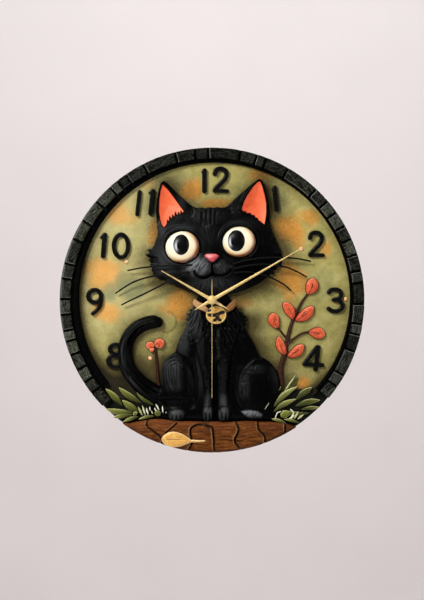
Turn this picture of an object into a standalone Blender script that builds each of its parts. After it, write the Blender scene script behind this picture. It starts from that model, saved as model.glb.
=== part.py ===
"""Round wall clock with a relief cat sitting on a ledge, driven by a quartz movement.

Frame: +Z up, +X to the right as the dial is read, the dial faces -Y and the
wall is the plane y = 0.  The origin is where the hanger bears on its nail,
HUB_DROP above the hand shaft.  All driving dimensions below are millimetres.
"""
import bpy
import bmesh
from math import cos, sin, pi, radians, hypot, atan2
from mathutils import Matrix, Vector

# ----------------------------------------------------------------- dimensions
MM = 0.001
HUB_DROP = 45.0            # hand shaft below the nail

BODY_R = 152.4             # 12 inch clock
SKIRT_WALL = 5.0
PANEL_BACK, PANEL_FRONT = -20.1, -25.1
DIAL_R = 139.8
DIAL_BACK, DIAL_FRONT = -25.4, -27.9
RELIEF_BACK = -28.2        # everything that sits on the dial starts here
NUMERAL_FRONT = -30.6
BEZEL_OUTER_R, BEZEL_INNER_R = 140.2, 135.8
BEZEL_CENTRE = (2.5, 2.0)  # the dial opening is a little off centre
BEZEL_FRONT = -32.5
BRICK_IN_R, BRICK_OUT_R = 140.6, 152.4
BRICK_FRONT, BRICK_JOINT = -37.5, -35.6
BRICK_START, BRICK_END = 226.0, 130.0     # clockwise from twelve, over the top
LEDGE_FRONT = -39.5
BODY_FRONT = -36.5
TAIL_FRONT = -37.0
HEAD_FRONT = -38.5

BUSH_R, BUSH_BORE = 4.0, 3.0
SHAFT_HOLE = 4.3

CASE_HALF = 28.0
CASE_FRONT, CASE_BACK = -18.5, -4.7
CASE_WALL = 1.4
FLOOR_Y = -17.1
COVER_FRONT, COVER_BACK = -4.4, -3.0

# wheel train: (teeth, teeth, centre distance)
C_ROTOR, C_INTER, C_TRAIN = 6.93, 9.6, 9.6


def polar(cx, cz, r, deg):
    return (cx + r * cos(radians(deg)), cz + r * sin(radians(deg)))


P_SECOND = (0.0, 0.0)
P_THIRD = polar(0, 0, C_TRAIN, 20)
P_INTER = polar(0, 0, C_INTER, 120)
P_ROTOR = polar(P_INTER[0], P_INTER[1], C_ROTOR, 120)
P_MOTION = (-C_TRAIN, 0.0)
P_KNOB = (-2 * C_TRAIN, 0.0)

# layers, back to front pairs
L_HOUR = (-15.7, -16.7)
L_MOTION_PINION = (-15.2, -16.7)
L_MOTION = (-14.3, -15.3)
L_CENTRE = (-12.9, -13.9)
L_THIRD = (-11.4, -12.4)
L_SECOND = (-10.0, -11.0)
L_INTER = (-8.5, -9.5)
PIVOT_FRONT, PIVOT_BACK = -17.7, -4.0

HOUR_HAND_Y = (-43.2, -44.2)
MINUTE_HAND_Y = (-45.4, -46.4)
SECOND_HAND_Y = (-47.6, -48.3)
CAP_FRONT = -49.8

BATTERY_Y, BATTERY_Z, BATTERY_R = -9.9, -19.3, 7.0

for old in list(bpy.data.objects):
    bpy.data.objects.remove(old, do_unlink=True)


# ------------------------------------------------------------------ materials
def material(name, colour, rough=0.5, metal=0.0):
    m = bpy.data.materials.new(name)
    m.use_nodes = True
    p = m.node_tree.nodes["Principled BSDF"]
    p.inputs["Base Color"].default_value = (*colour, 1.0)
    p.inputs["Roughness"].default_value = rough
    p.inputs["Metallic"].default_value = metal
    m.diffuse_color = (*colour, 1.0)
    return m


# ------------------------------------------------------------- shape helpers
def temp(bm):
    bmesh.ops.recalc_face_normals(bm, faces=bm.faces)
    me = bpy.data.meshes.new("temp")
    bm.to_mesh(me)
    bm.free()
    ob = bpy.data.objects.new("temp", me)
    bpy.context.scene.collection.objects.link(ob)
    return ob


def prism(outline, y0, y1):
    """Solid between two y planes with the outline [(x, z), ...]."""
    bm = bmesh.new()
    back = [bm.verts.new((x, y0, z)) for x, z in outline]
    face = bm.faces.new(back)
    ext = bmesh.ops.extrude_face_region(bm, geom=[face], use_keep_orig=True)
    top = [g for g in ext["geom"] if isinstance(g, bmesh.types.BMVert)]
    bmesh.ops.translate(bm, verts=top, vec=(0, y1 - y0, 0))
    return temp(bm)


def circle(cx, cz, rx, rz=None, n=32, start=0.0):
    rz = rx if rz is None else rz
    return [(cx + rx * cos(start + 2 * pi * k / n), cz + rz * sin(start + 2 * pi * k / n))
            for k in range(n)]


def disc(cx, cz, r, y0, y1, n=24):
    return prism(circle(cx, cz, r, n=n), y0, y1)


def rod_x(y, z, r, x0, x1, n=28):
    bm = bmesh.new()
    a = [bm.verts.new((x0, y + r * cos(2 * pi * k / n), z + r * sin(2 * pi * k / n))) for k in range(n)]
    face = bm.faces.new(a)
    ext = bmesh.ops.extrude_face_region(bm, geom=[face], use_keep_orig=True)
    bmesh.ops.translate(bm, verts=[g for g in ext["geom"] if isinstance(g, bmesh.types.BMVert)],
                        vec=(x1 - x0, 0, 0))
    return temp(bm)


def block(x0, x1, y0, y1, z0, z1):
    return prism([(x0, z0), (x1, z0), (x1, z1), (x0, z1)], y0, y1)


def lathe(profile, n):
    """Closed (r, y) profile turned about the hand shaft."""
    bm = bmesh.new()
    rings = [[bm.verts.new((r * cos(2 * pi * k / n), y, r * sin(2 * pi * k / n))) for r, y in profile]
             for k in range(n)]
    m = len(profile)
    for k in range(n):
        a, b = rings[k], rings[(k + 1) % n]
        for i in range(m):
            j = (i + 1) % m
            bm.faces.new((a[i], a[j], b[j], b[i]))
    return temp(bm)


def sweep(sections):
    """Solid through a chain of closed sections, each a list of (x, y, z)."""
    bm = bmesh.new()
    rings = [[bm.verts.new(p) for p in s] for s in sections]
    m = len(rings[0])
    for a, b in zip(rings, rings[1:]):
        for i in range(m):
            j = (i + 1) % m
            bm.faces.new((a[i], a[j], b[j], b[i]))
    bm.faces.new(rings[0])
    bm.faces.new(rings[-1])
    return temp(bm)


def curve_through(points, per=4, closed=False):
    """Catmull-Rom curve through hand-placed points."""
    n = len(points)
    out = []
    spans = n if closed else n - 1
    for i in range(spans):
        if closed:
            p = [points[(i + k - 1) % n] for k in range(4)]
        else:
            p = [points[min(max(i + k - 1, 0), n - 1)] for k in range(4)]
        for s in range(per):
            t = s / per
            out.append(tuple(0.5 * (2 * p[1][a] + (p[2][a] - p[0][a]) * t
                                    + (2 * p[0][a] - 5 * p[1][a] + 4 * p[2][a] - p[3][a]) * t * t
                                    + (3 * p[1][a] - p[0][a] - 3 * p[2][a] + p[3][a]) * t ** 3)
                             for a in range(len(points[0]))))
    if not closed:
        out.append(tuple(points[-1]))
    return out


def stroke(points, widths):
    """Outline of a line of given width along an open run of points."""
    n = len(points)
    if not isinstance(widths, (list, tuple)):
        widths = [widths] * n
    left, right = [], []
    for i, (x, z) in enumerate(points):
        a = points[max(i - 1, 0)]
        b = points[min(i + 1, n - 1)]
        dx, dz = b[0] - a[0], b[1] - a[1]
        d = hypot(dx, dz)
        nx, nz = -dz / d, dx / d
        if 0 < i < n - 1:
            ux, uz = x - a[0], z - a[1]
            u = hypot(ux, uz)
            c = max(0.5, abs((-uz / u) * nx + (ux / u) * nz))
        else:
            c = 1.0
        h = 0.5 * widths[i] / c
        left.append((x + nx * h, z + nz * h))
        right.append((x - nx * h, z - nz * h))
    return left + right[::-1]


def leaf(p0, p1, width, bend=0.0, n=5):
    """Pointed leaf from base p0 to tip p1."""
    dx, dz = p1[0] - p0[0], p1[1] - p0[1]
    d = hypot(dx, dz)
    nx, nz = -dz / d, dx / d
    up, down = [], []
    for k in range(n + 1):
        t = k / n
        h = 0.5 * width * max(sin(pi * (0.08 + 0.88 * t)) ** 0.8, 0.12)
        b = bend * sin(pi * t)
        cx, cz = p0[0] + dx * t + nx * b, p0[1] + dz * t + nz * b
        up.append((cx + nx * h, cz + nz * h))
        down.append((cx - nx * h, cz - nz * h))
    return up + down[::-1]


def gear(cx, cz, teeth, module, phase, root):
    """Trapezoid-toothed outline; phase is the angle of one tooth's centre, root its foot's share of the pitch."""
    r = module * teeth / 2
    ra, rf = r + 0.62 * module, r - module
    pitch = 2 * pi / teeth
    pts = []
    for k in range(teeth):
        a = phase + k * pitch
        corners = [(ra, -0.1 * pitch), (ra, 0.1 * pitch)]
        corners += [(rf, 0.5 * pitch)] if root > 0.99 else [(rf, root * pitch / 2), (rf, (1 - root / 2) * pitch)]
        for rad, off in corners:
            pts.append((cx + rad * cos(a + off), cz + rad * sin(a + off)))
    return pts


def mate_phase(pa, na, phase_a, pb, nb):
    """Phase that puts gear b's gap on gear a's tooth."""
    line = atan2(pb[1] - pa[1], pb[0] - pa[0])
    return line + pi + pi / nb - (phase_a - line) * na / nb


def combine(adds, cuts=()):
    """Union of the first list minus the second, as one temporary object."""
    base = adds[0]
    tools = [(o, "UNION") for o in adds[1:]] + [(o, "DIFFERENCE") for o in cuts]
    if not tools:
        return base
    for o, op in tools:
        m = base.modifiers.new("join", "BOOLEAN")
        m.operation = op
        m.solver = "EXACT"
        m.object = o
    bpy.context.view_layer.update()
    dg = bpy.context.evaluated_depsgraph_get()
    me = bpy.data.meshes.new_from_object(base.evaluated_get(dg))
    for o in [base] + [t[0] for t in tools]:
        bpy.data.objects.remove(o, do_unlink=True)
    ob = bpy.data.objects.new("temp", me)
    bpy.context.scene.collection.objects.link(ob)
    return ob


def finish(name, ob, mat, origin=(0.0, 0.0), smooth=False, hinge=None):
    """Name the piece, scale it to metres and put its origin where it turns."""
    me = ob.data
    ox, oz = origin
    me.transform(Matrix.Translation(Vector((-ox, 0.0, -oz))))
    me.transform(Matrix.Scale(MM, 4))
    bm = bmesh.new()
    bm.from_mesh(me)
    bmesh.ops.dissolve_degenerate(bm, dist=2e-6, edges=bm.edges)
    bmesh.ops.triangulate(bm, faces=bm.faces)
    bm.to_mesh(me)
    bm.free()
    me.materials.clear()
    me.materials.append(mat)
    if smooth:
        me.shade_smooth()
        me.set_sharp_from_angle(angle=radians(35))
    ob.name = name
    me.name = name
    ob.location = (ox * MM, 0.0, (oz - HUB_DROP) * MM)
    if hinge is not None:
        ob.parent = hinge
        ob.location = (0, 0, 0)
    return ob


def hinge_at(name, p):
    e = bpy.data.objects.new(name, None)
    e.empty_display_size = 0.01
    bpy.context.scene.collection.objects.link(e)
    e.location = (p[0] * MM, 0.0, (p[1] - HUB_DROP) * MM)
    return e


# ------------------------------------------------------------------- colours
M_SHELL = material("shell_charcoal", (0.035, 0.035, 0.03), 0.6)
M_DIAL = material("dial_olive", (0.42, 0.39, 0.18), 0.75)
M_BEZEL = material("bezel_black", (0.02, 0.02, 0.02), 0.35)
M_BRICK = material("brick_charcoal_green", (0.05, 0.06, 0.05), 0.5)
M_LEDGE = material("ledge_brown", (0.2, 0.07, 0.03), 0.6)
M_NUMERAL = material("numeral_black", (0.015, 0.015, 0.015), 0.25)
M_CAT = material("cat_black", (0.02, 0.02, 0.02), 0.4)
M_EAR = material("ear_coral", (0.85, 0.16, 0.07), 0.5)
M_EYE = material("eye_ivory", (0.85, 0.78, 0.6), 0.25)
M_PUPIL = material("pupil_black", (0.01, 0.01, 0.01), 0.1)
M_NOSE = material("nose_pink", (0.7, 0.12, 0.15), 0.4)
M_WHISKER = material("whisker_black", (0.02, 0.02, 0.02), 0.4)
M_COLLAR = material("collar_tan", (0.6, 0.3, 0.1), 0.5)
M_BELL = material("bell_gold", (0.8, 0.55, 0.2), 0.35, 0.6)
M_BRANCH = material("branch_coral", (0.75, 0.13, 0.06), 0.55)
M_FLOWER = material("flower_coral", (0.75, 0.2, 0.1), 0.55)
M_LEAF = material("leaf_olive", (0.2, 0.24, 0.05), 0.55)
M_GOLDLEAF = material("leaf_gold", (0.6, 0.45, 0.2), 0.45)
M_HAND = material("hand_gold", (0.85, 0.68, 0.32), 0.35, 0.7)
M_CASE = material("case_black", (0.03, 0.03, 0.03), 0.5)
M_STEEL = material("steel", (0.6, 0.6, 0.62), 0.3, 1.0)
M_BRASS = material("brass", (0.75, 0.55, 0.25), 0.3, 1.0)
M_BOARD = material("board_green", (0.03, 0.2, 0.08), 0.5)
M_COPPER = material("copper", (0.7, 0.28, 0.12), 0.35, 0.8)
M_GEAR = material("gear_white", (0.8, 0.8, 0.76), 0.45)
M_GEAR_TINT = material("gear_amber", (0.8, 0.6, 0.3), 0.45)
M_MAGNET = material("magnet_grey", (0.15, 0.15, 0.16), 0.4, 0.5)
M_BATTERY = material("battery_sleeve", (0.1, 0.12, 0.16), 0.35)


# ------------------------------------------------------------- clock body
finish("clock_body", lathe([(SHAFT_HOLE, PANEL_FRONT), (BODY_R, PANEL_FRONT), (BODY_R, -1.0), (BODY_R - 1.0, 0.0),
                            (BODY_R - SKIRT_WALL, 0.0), (BODY_R - SKIRT_WALL, PANEL_BACK),
                            (SHAFT_HOLE, PANEL_BACK)], 80),
       M_SHELL, smooth=True)

beads = [(-86, 38.4), (89.6, 51.3), (134.0, 1), (-62, -58.3)]
finish("dial_panel", combine([prism(circle(0, 0, DIAL_R, n=96), DIAL_BACK, DIAL_FRONT)]
                             + [prism(circle(x, z, 1.8, n=12), DIAL_BACK - 1.0, DIAL_FRONT - 1.2) for x, z in beads],
                             [disc(0, 0, SHAFT_HOLE, DIAL_BACK + 1, DIAL_FRONT - 1, 32),
                              block(-160, 160, DIAL_BACK + 1, DIAL_FRONT - 1, -160, -118.3)]), M_DIAL)


def at(r, cw):
    return (r * sin(radians(cw)), r * cos(radians(cw)))


def bezel_inner(cw):
    """Distance from the shaft to the off-centre opening along a bearing."""
    ux, uz = sin(radians(cw)), cos(radians(cw))
    b = ux * BEZEL_CENTRE[0] + uz * BEZEL_CENTRE[1]
    c = BEZEL_CENTRE[0] ** 2 + BEZEL_CENTRE[1] ** 2 - BEZEL_INNER_R ** 2
    return b + (b * b - c) ** 0.5


sections = []
span = BRICK_END - (BRICK_START - 360.0)
count = 72
for k in range(count + 1):
    cw = BRICK_START - 360.0 + span * k / count
    ri = bezel_inner(cw)
    (xi, zi), (xo, zo) = at(ri, cw), at(BEZEL_OUTER_R, cw)
    (xm, zm) = at(ri + 0.8, cw)
    sections.append([(xo, RELIEF_BACK, zo), (xo, BEZEL_FRONT, zo), (xm, BEZEL_FRONT, zm),
                     (xi, BEZEL_FRONT + 1.0, zi), (xi, RELIEF_BACK, zi)])
finish("rim_bezel", sweep(sections), M_BEZEL, smooth=True)

# brick joints, clockwise from twelve, unwrapped to run from the lower left over the top
joints = [232.2, 237.1, 242.5, 248.6, 254, 258.1, 264.3, 270.4, 278.2, 284, 293.8, 301.6, 310.4, 317.8,
          321.5, 325.4, 333.1, 345.9, 353.3, 358.6, 370.9, 377.2, 381, 390.1, 403.2, 409.5, 414.8, 420.8,
          426.3, 432.5, 438.8, 443.4, 451.6, 459.3, 463.4, 470, 479.9, 484.8]
stations = [(BRICK_START, BRICK_FRONT)]
last = BRICK_START
for j in joints + [BRICK_END + 360.0]:
    parts = max(1, round((j - last) / 4.0))
    for k in range(1, parts):
        stations.append((last + (j - last) * k / parts, BRICK_FRONT))
    if j < BRICK_END + 359.0:
        stations += [(j - 0.42, BRICK_FRONT), (j - 0.26, BRICK_JOINT), (j + 0.26, BRICK_JOINT), (j + 0.42, BRICK_FRONT)]
    else:
        stations.append((j, BRICK_FRONT))
    last = j
sections = []
for cw, y in stations:
    (xi, zi), (xo, zo) = at(BRICK_IN_R, cw), at(BRICK_OUT_R, cw)
    sections.append([(xo, DIAL_BACK, zo), (xo, y, zo), (xi, y, zi), (xi, DIAL_BACK, zi)])
finish("brick_rim", sweep(sections), M_BRICK)

ledge_top = [(-89.2, -123.4), (-74, -121.5), (-60, -119.4), (-50, -119.2), (-40, -120.5), (-20, -121.5), (0, -121.5),
             (20, -122), (40, -121), (60, -122), (75, -124), (84.0, -127.0)]
a0, a1 = atan2(84.0, -127.0), atan2(-89.2, -123.4) + 2 * pi
arc = [at(BODY_R - 0.02, (a0 + (a1 - a0) * k / 22) * 180 / pi) for k in range(1, 22)]
finish("ledge", prism(ledge_top + arc, DIAL_BACK, LEDGE_FRONT), M_LEDGE)

# ------------------------------------------------------------- numerals
# each glyph is a list of strokes in a unit box
GLYPH = {
    "1": [[(0.5, 0.0), (0.5, 1.0)]],
    "2": [curve_through([(0.05, 0.76), (0.25, 0.95), (0.55, 1.0), (0.9, 0.86), (0.93, 0.64), (0.66, 0.38),
                         (0.3, 0.12), (0.12, 0.03)], 3) + [(1.0, 0.0)]],
    "3": [curve_through([(0.05, 0.88), (0.35, 1.0), (0.8, 0.93), (0.9, 0.74), (0.72, 0.56), (0.4, 0.5)], 3),
          curve_through([(0.4, 0.52), (0.8, 0.46), (0.98, 0.27), (0.8, 0.05), (0.4, 0.0), (0.02, 0.12)], 3)],
    "4": [[(0.45, 1.0), (0.0, 0.24)], [(-0.08, 0.24), (1.02, 0.2)], [(0.72, 0.6), (0.66, -0.04)]],
}


def glyph(name, ch, x0, x1, z0, z1, w=4.6, slant=0.0, extra=(), cut=()):
    h = w / 2
    solids = []
    for i, line in enumerate(GLYPH[ch]):
        pts = []
        for u, v in line:
            x = x0 + h + (x1 - x0 - w) * u + slant * (v - 0.5)
            z = z0 + h + (z1 - z0 - w) * v
            pts.append((x, z))
        if ch == "1":
            pts = [(pts[0][0], z0), (pts[1][0], z1)]
        solids.append(prism(stroke(pts, w), RELIEF_BACK, NUMERAL_FRONT - 0.05 * i))
    solids += list(extra)
    finish(name, combine(solids, cut), M_NUMERAL)


def ring(cx, cz, rx, rz, w, depth=0.0, n=28):
    return (prism(circle(cx, cz, rx, rz, n), RELIEF_BACK, NUMERAL_FRONT - depth),
            prism(circle(cx, cz, rx - w, rz - w, n), RELIEF_BACK + 1, NUMERAL_FRONT - 1))


glyph("numeral_12_one", "1", -10.0, -4.8, 107, 131.3, 4.8)
glyph("numeral_12_two", "2", 0.4, 17.0, 107.3, 133.9, 4.8)
glyph("numeral_1", "1", 61.2, 66.4, 88.5, 114.5, 5.2, slant=-2.4)
glyph("numeral_2", "2", 96.2, 113.3, 42.5, 69.8, 5.0)
glyph("numeral_3", "3", 115, 133, -13.3, 12.4, 4.8)
glyph("numeral_4", "4", 90.5, 111.0, -71.0, -44.8, 4.8)

# the tail's centre line, tip first, with its half width
TAIL = curve_through([(-57.0, -22.0, 5.8), (-61, -22.3, 6.8), (-68, -24.3, 6.9), (-75, -28, 7.0), (-81, -34, 7.1),
                      (-85, -41, 7.2), (-86.8, -49, 7.3), (-86.8, -57, 7.3), (-85.3, -66, 7.5), (-81, -74, 7.8),
                      (-75, -81, 8.0), (-68, -87, 8.2), (-61.5, -91.0, 8.2)], 2)


def tail_outline(grow=0.0):
    return stroke([(x, z) for x, z, h in TAIL], [2 * (h + grow) for x, z, h in TAIL])


upper, upper_hole = ring(-96.6, -48.8, 7.6, 6.6, 4.2)
lower, lower_hole = ring(-96.9, -61.2, 9.0, 8.0, 4.6, 0.05)
finish("numeral_8", combine([upper, lower], [upper_hole, lower_hole,
                                             prism(tail_outline(0.5), RELIEF_BACK + 1, NUMERAL_FRONT - 1)]), M_NUMERAL)

nine, nine_hole = ring(-117.6, 3.8, 8.6, 8.4, 4.6)
finish("numeral_9", combine([nine, prism(stroke(curve_through([(-111.6, 2.0), (-111.5, -4.0), (-114.5, -10.5),
                                                               (-120.5, -14.5)], 3), 4.4),
                                         RELIEF_BACK, NUMERAL_FRONT - 0.05)], [nine_hole]), M_NUMERAL)
glyph("numeral_10_one", "1", -111.0, -105.8, 41.5, 67.5, 5.0, slant=2.0)
zero, zero_hole = ring(-91.2, 54.2, 9.4, 13.7, 4.6)
finish("numeral_10_zero", combine([zero], [zero_hole]), M_NUMERAL)
glyph("numeral_11_one_left", "1", -75.9, -71.5, 83.7, 110.5, 4.3, slant=2.7)
glyph("numeral_11_one_right", "1", -63.0, -57.6, 84.5, 111.4, 5.3, slant=2.8)

# ------------------------------------------------------------- the cat
head = [(-48.5, 119), (-44.6, 117), (-34.7, 107), (-23.4, 96.7), (-18, 92.5), (13, 92.8), (20.8, 99.7), (32.9, 110.1),
        (39, 115.7), (47.5, 121.4), (52.4, 115.7), (55, 107), (57.9, 88), (57.6, 77.6), (60.7, 67.2), (66.7, 55.7),
        (70.6, 44.4), (70, 34), (65.4, 33.1), (60.6, 29.7), (62.8, 26.2), (54.5, 21.9), (47.6, 16.7), (39.8, 12.8),
        (32, 10.2), (20, 9.2), (-20, 9.2), (-35.2, 14), (-44.8, 18.3), (-54.4, 21.5), (-59.2, 24.2), (-60.3, 34.3),
        (-65.6, 46.6), (-58, 52.5), (-53.9, 65.3), (-54.4, 71.7), (-56.3, 89.8), (-53.3, 111)]
finish("cat_head", prism(head, RELIEF_BACK, HEAD_FRONT), M_CAT)

body = [(-14, 8.8), (16, 8.8), (18, 0), (26, -10.3), (32.9, -17.3), (32, -25), (35.5, -32.9), (43.3, -45.9),
        (47.2, -56.3), (57.2, -61.5), (64.6, -71.9), (68.5, -82), (64, -92), (64, -118.2), (-50, -118.2),
        (-52, -108), (-51, -95), (-50.7, -77.7), (-49.6, -63.8), (-40.5, -54.3), (-36.4, -52), (-32.8, -39.6),
        (-25.8, -26.4), (-21, -12), (-15, 0)]
finish("cat_body", combine([prism(body, RELIEF_BACK, BODY_FRONT)],
                           [disc(0, 0, 7.6, RELIEF_BACK + 1, BODY_FRONT - 1, 32)]), M_CAT)

finish("cat_tail", prism(tail_outline(), RELIEF_BACK, TAIL_FRONT), M_CAT)

ear_l = [(-49.6, 115.4), (-43.7, 110), (-32, 94), (-27.5, 88.2), (-37.3, 82.9), (-42.7, 78), (-48.5, 72.7),
         (-53.1, 88.7), (-51.7, 108)]
ear_r = [(48.1, 118.0), (52.9, 105.3), (54.4, 88), (52.4, 75.4), (43.3, 82.8), (31.2, 88.9), (32, 98.4),
         (40.7, 113.1)]
finish("inner_ear_left", prism(ear_l[::-1], HEAD_FRONT - 0.3, HEAD_FRONT - 1.3), M_EAR)
finish("inner_ear_right", prism(ear_r[::-1], HEAD_FRONT - 0.3, HEAD_FRONT - 1.3), M_EAR)


def dome(name, cx, cz, rx, rz, y0, y1, mat, n=28):
    """Low domed disc, flat at the back."""
    steps = [(1.0, y0), (1.0, y0 + 0.35 * (y1 - y0)), (0.86, y0 + 0.75 * (y1 - y0)), (0.5, y1)]
    rings = [[(cx + rx * s * cos(2 * pi * k / n), y, cz + rz * s * sin(2 * pi * k / n)) for k in range(n)]
             for s, y in steps]
    finish(name, sweep(rings), mat, smooth=True)


dome("eye_left", -29.5, 52.8, 17, 15.9, HEAD_FRONT - 0.3, HEAD_FRONT - 2.3, M_EYE)
dome("eye_right", 27.1, 58.0, 16.6, 15.3, HEAD_FRONT - 0.3, HEAD_FRONT - 2.3, M_EYE)
dome("pupil_left", -30.7, 55.1, 4.0, 5.1, HEAD_FRONT - 2.6, HEAD_FRONT - 3.4, M_PUPIL, 20)
dome("pupil_right", 24.2, 59.1, 4.25, 5.3, HEAD_FRONT - 2.6, HEAD_FRONT - 3.4, M_PUPIL, 20)
finish("nose", prism([(-7.1, 43.5), (-4.5, 45.5), (4.0, 45.3), (6.4, 43.4), (3.2, 39.6), (0.2, 37.7), (-3.4, 39.8)],
                     HEAD_FRONT - 0.3, HEAD_FRONT - 2.4), M_NOSE)


def whiskers(name, lines, root):
    y0, y1 = HEAD_FRONT - 0.3, HEAD_FRONT - 1.7
    solids = [prism(stroke(root, 2.4), y0, y1)]
    for i, line in enumerate(lines):
        n = len(line)
        solids.append(prism(stroke(line, [1.8 - 0.9 * k / (n - 1) for k in range(n)]), y0, y1 + 0.04 * (i + 1)))
    finish(name, combine(solids), M_WHISKER)


whiskers("whiskers_left",
         [[(-20.8, 34.8), (-44, 34.2), (-65.6, 32.6), (-83.6, 29.6)],
          [(-23.0, 28.4), (-44, 26), (-64, 22.6), (-80, 17.2), (-96, 7)],
          [(-23.4, 26.4), (-36, 21.2), (-56, 12), (-80, 0.4), (-90, -4.8)]],
         [(-21.2, 36.0), (-23.0, 24.6)])
whiskers("whiskers_right",
         [[(22.0, 36.6), (45, 40.0), (70.5, 42.2), (98.3, 38.8)],
          [(22.6, 30.0), (45, 34.5), (66.7, 34), (85.7, 27.9), (94.4, 23.2)],
          [(23.0, 25.6), (40, 27.0), (56.7, 23.2), (71.9, 15.4), (78.8, 9.6)]],
         [(22.2, 38.0), (23.4, 24.2)])

finish("collar", prism([(-17, 1), (-8.8, -3.6), (-6, -6), (-2, -9.0), (4, -10.5), (10, -9.5), (14, -6.5), (16.8, -4.5),
                        (19.8, -1.4), (22.6, 0.3), (24.4, -1), (24.4, -3.6), (22, -8.4), (19.4, -10.3), (14, -13.5),
                        (4, -16), (-5, -13), (-9.2, -10.5), (-14, -8.8), (-18.3, -5.3), (-19.4, -3.2)],
                       BODY_FRONT - 0.3, BODY_FRONT - 1.8), M_COLLAR)
dome("bell", 4.1, -15.6, 10.0, 8.6, BODY_FRONT - 2.1, BODY_FRONT - 5.4, M_BELL, 32)

# ------------------------------------------------------------- plants
LEAF_FRONT = -32.4


def lens(p0, p1, w, bend=0.0, extra=0.0):
    return prism(leaf(p0, p1, w, bend), RELIEF_BACK, LEAF_FRONT - extra)


stem = curve_through([(70.6, -72.0), (70.0, -65.8), (73.7, -55.4), (74.5, -45.9), (76.3, -36.3), (78.9, -26.8),
                      (82.3, -17.3), (86.7, -8.6), (91, -0.8), (98.2, 9.0)], 2)
finish("branch", combine([prism(stroke(stem, [3.6 - 1.8 * k / (len(stem) - 1) for k in range(len(stem))]),
                                RELIEF_BACK, LEAF_FRONT),
                          prism(stroke([(76.3, -44.1), (83.2, -38.1), (90.1, -33.7), (99.5, -31.6)], 1.8),
                                RELIEF_BACK, LEAF_FRONT + 0.1),
                          prism(stroke([(75.6, -39.4), (69.3, -32), (64.4, -26.0)], 1.8), RELIEF_BACK, LEAF_FRONT + 0.2),
                          lens((97.0, 5), (102, 22), 11, 0, 0.1), lens((81.0, -20), (71, -2), 9, 0, 0.2),
                          lens((82.2, -20.6), (101.5, -7), 9, 0, 0.3), lens((65.5, -28.5), (60, -13), 9, 0, 0.4),
                          lens((73.8, -55.4), (66, -36.5), 7.5, 0, 0.5), lens((75.0, -56.0), (92, -45), 8, 0, 0.6),
                          lens((97, -32.4), (113.5, -35), 9, 0, 0.7)]), M_BRANCH)
finish("flower", combine([prism(stroke([(-56.8, -46.5), (-55.6, -62), (-54.2, -81)], [3.0, 2.6, 2.4]),
                                RELIEF_BACK, LEAF_FRONT),
                          prism(circle(-61.0, -46.2, 4.8, 4.4, 18), RELIEF_BACK, LEAF_FRONT - 0.1),
                          prism(circle(-53.4, -43.8, 5.4, 5.2, 18), RELIEF_BACK, LEAF_FRONT - 0.2)]), M_FLOWER)
finish("leaves_left", combine([prism([(-102.5, -110), (-88, -108.5), (-74, -107), (-60, -107.5), (-54.5, -110),
                                      (-53.0, -117.9), (-92, -118.1), (-96.5, -115)], RELIEF_BACK, LEAF_FRONT),
                               lens((-86, -110), (-95.0, -90.0), 6.5, 0, 0.1), lens((-76, -109), (-91.5, -89.5), 6, 0, 0.2),
                               lens((-68, -110), (-74.5, -96.5), 5, 0, 0.3)]), M_LEAF)
finish("leaves_right", combine([prism([(66.2, -112), (72, -108.5), (84, -107.5), (98, -109), (101, -112), (92.5, -118.1),
                                       (66.5, -118.1)], RELIEF_BACK, LEAF_FRONT),
                                lens((70, -111), (85, -90), 6.5, 2, 0.1), lens((82, -110), (98.5, -90.5), 6, 0, 0.2),
                                lens((88, -110.5), (106.5, -101.5), 6, 0, 0.3)]), M_LEAF)
finish("ledge_leaf", prism([(-49.5, -138.5), (-46, -133.5), (-38, -131), (-29, -132.5), (-22, -137.5), (-8, -139.6),
                            (-8, -141.4), (-21.5, -141.5), (-28, -144.6), (-37, -146.5), (-46, -143.5)],
                           LEDGE_FRONT - 0.3, LEDGE_FRONT - 2.0), M_GOLDLEAF)

# ------------------------------------------------------------- hands
AXIS = hinge_at("shaft_axis", P_SECOND)


def hand(name, bearing, tip, tail, w_root, w_tip, w_tail, boss, bore, ys, mat):
    u = (sin(radians(bearing)), cos(radians(bearing)))
    pts = [(-u[0] * tail, -u[1] * tail), (-u[0] * 4, -u[1] * 4), (u[0] * 4, u[1] * 4),
           (u[0] * tip * 0.55, u[1] * tip * 0.55), (u[0] * tip, u[1] * tip)]
    blade = prism(stroke(pts, [w_tail, w_root, w_root, w_root * 0.72, w_tip]), ys[0] - 0.05, ys[1] + 0.05)
    return finish(name, combine([disc(0, 0, boss, ys[0], ys[1], 32), blade],
                                [disc(0, 0, bore, ys[0] + 2, ys[1] - 2, 32)]), mat, hinge=AXIS)


hand("hour_hand", 300.0, 57.5, 19.5, 4.2, 1.2, 3.4, 5.2, 2.8, HOUR_HAND_Y, M_HAND)
hand("minute_hand", 60.0, 104.0, 20.0, 4.4, 1.0, 3.4, 4.6, 1.8, MINUTE_HAND_Y, M_HAND)
finish("second_hand", combine([disc(0, 0, 4.0, SECOND_HAND_Y[0] + 0.2, SECOND_HAND_Y[1] - 0.3, 32),
                               disc(0, 0, 2.4, SECOND_HAND_Y[1] - 0.1, CAP_FRONT, 24),
                               prism(stroke([(0, 20), (0, 0), (0, -97)], [2.2, 1.6, 0.8]),
                                     SECOND_HAND_Y[0], SECOND_HAND_Y[1])],
                              [disc(0, 0, 0.6, SECOND_HAND_Y[0] + 2, SECOND_HAND_Y[1] - 0.4, 20)]), M_HAND, hinge=AXIS)

# ------------------------------------------------------------- wheel train
M_A = 2 * C_ROTOR / (6 + 36)
M_B = 2 * C_INTER / (8 + 40)
M_C = 2 * C_TRAIN / (6 + 45)
M_D = 2 * C_TRAIN / (6 + 48)
M_E = 2 * C_TRAIN / (10 + 30)
M_F = 2 * C_TRAIN / (8 + 32)
PINION, WHEEL = 0.55, 1.0

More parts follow.
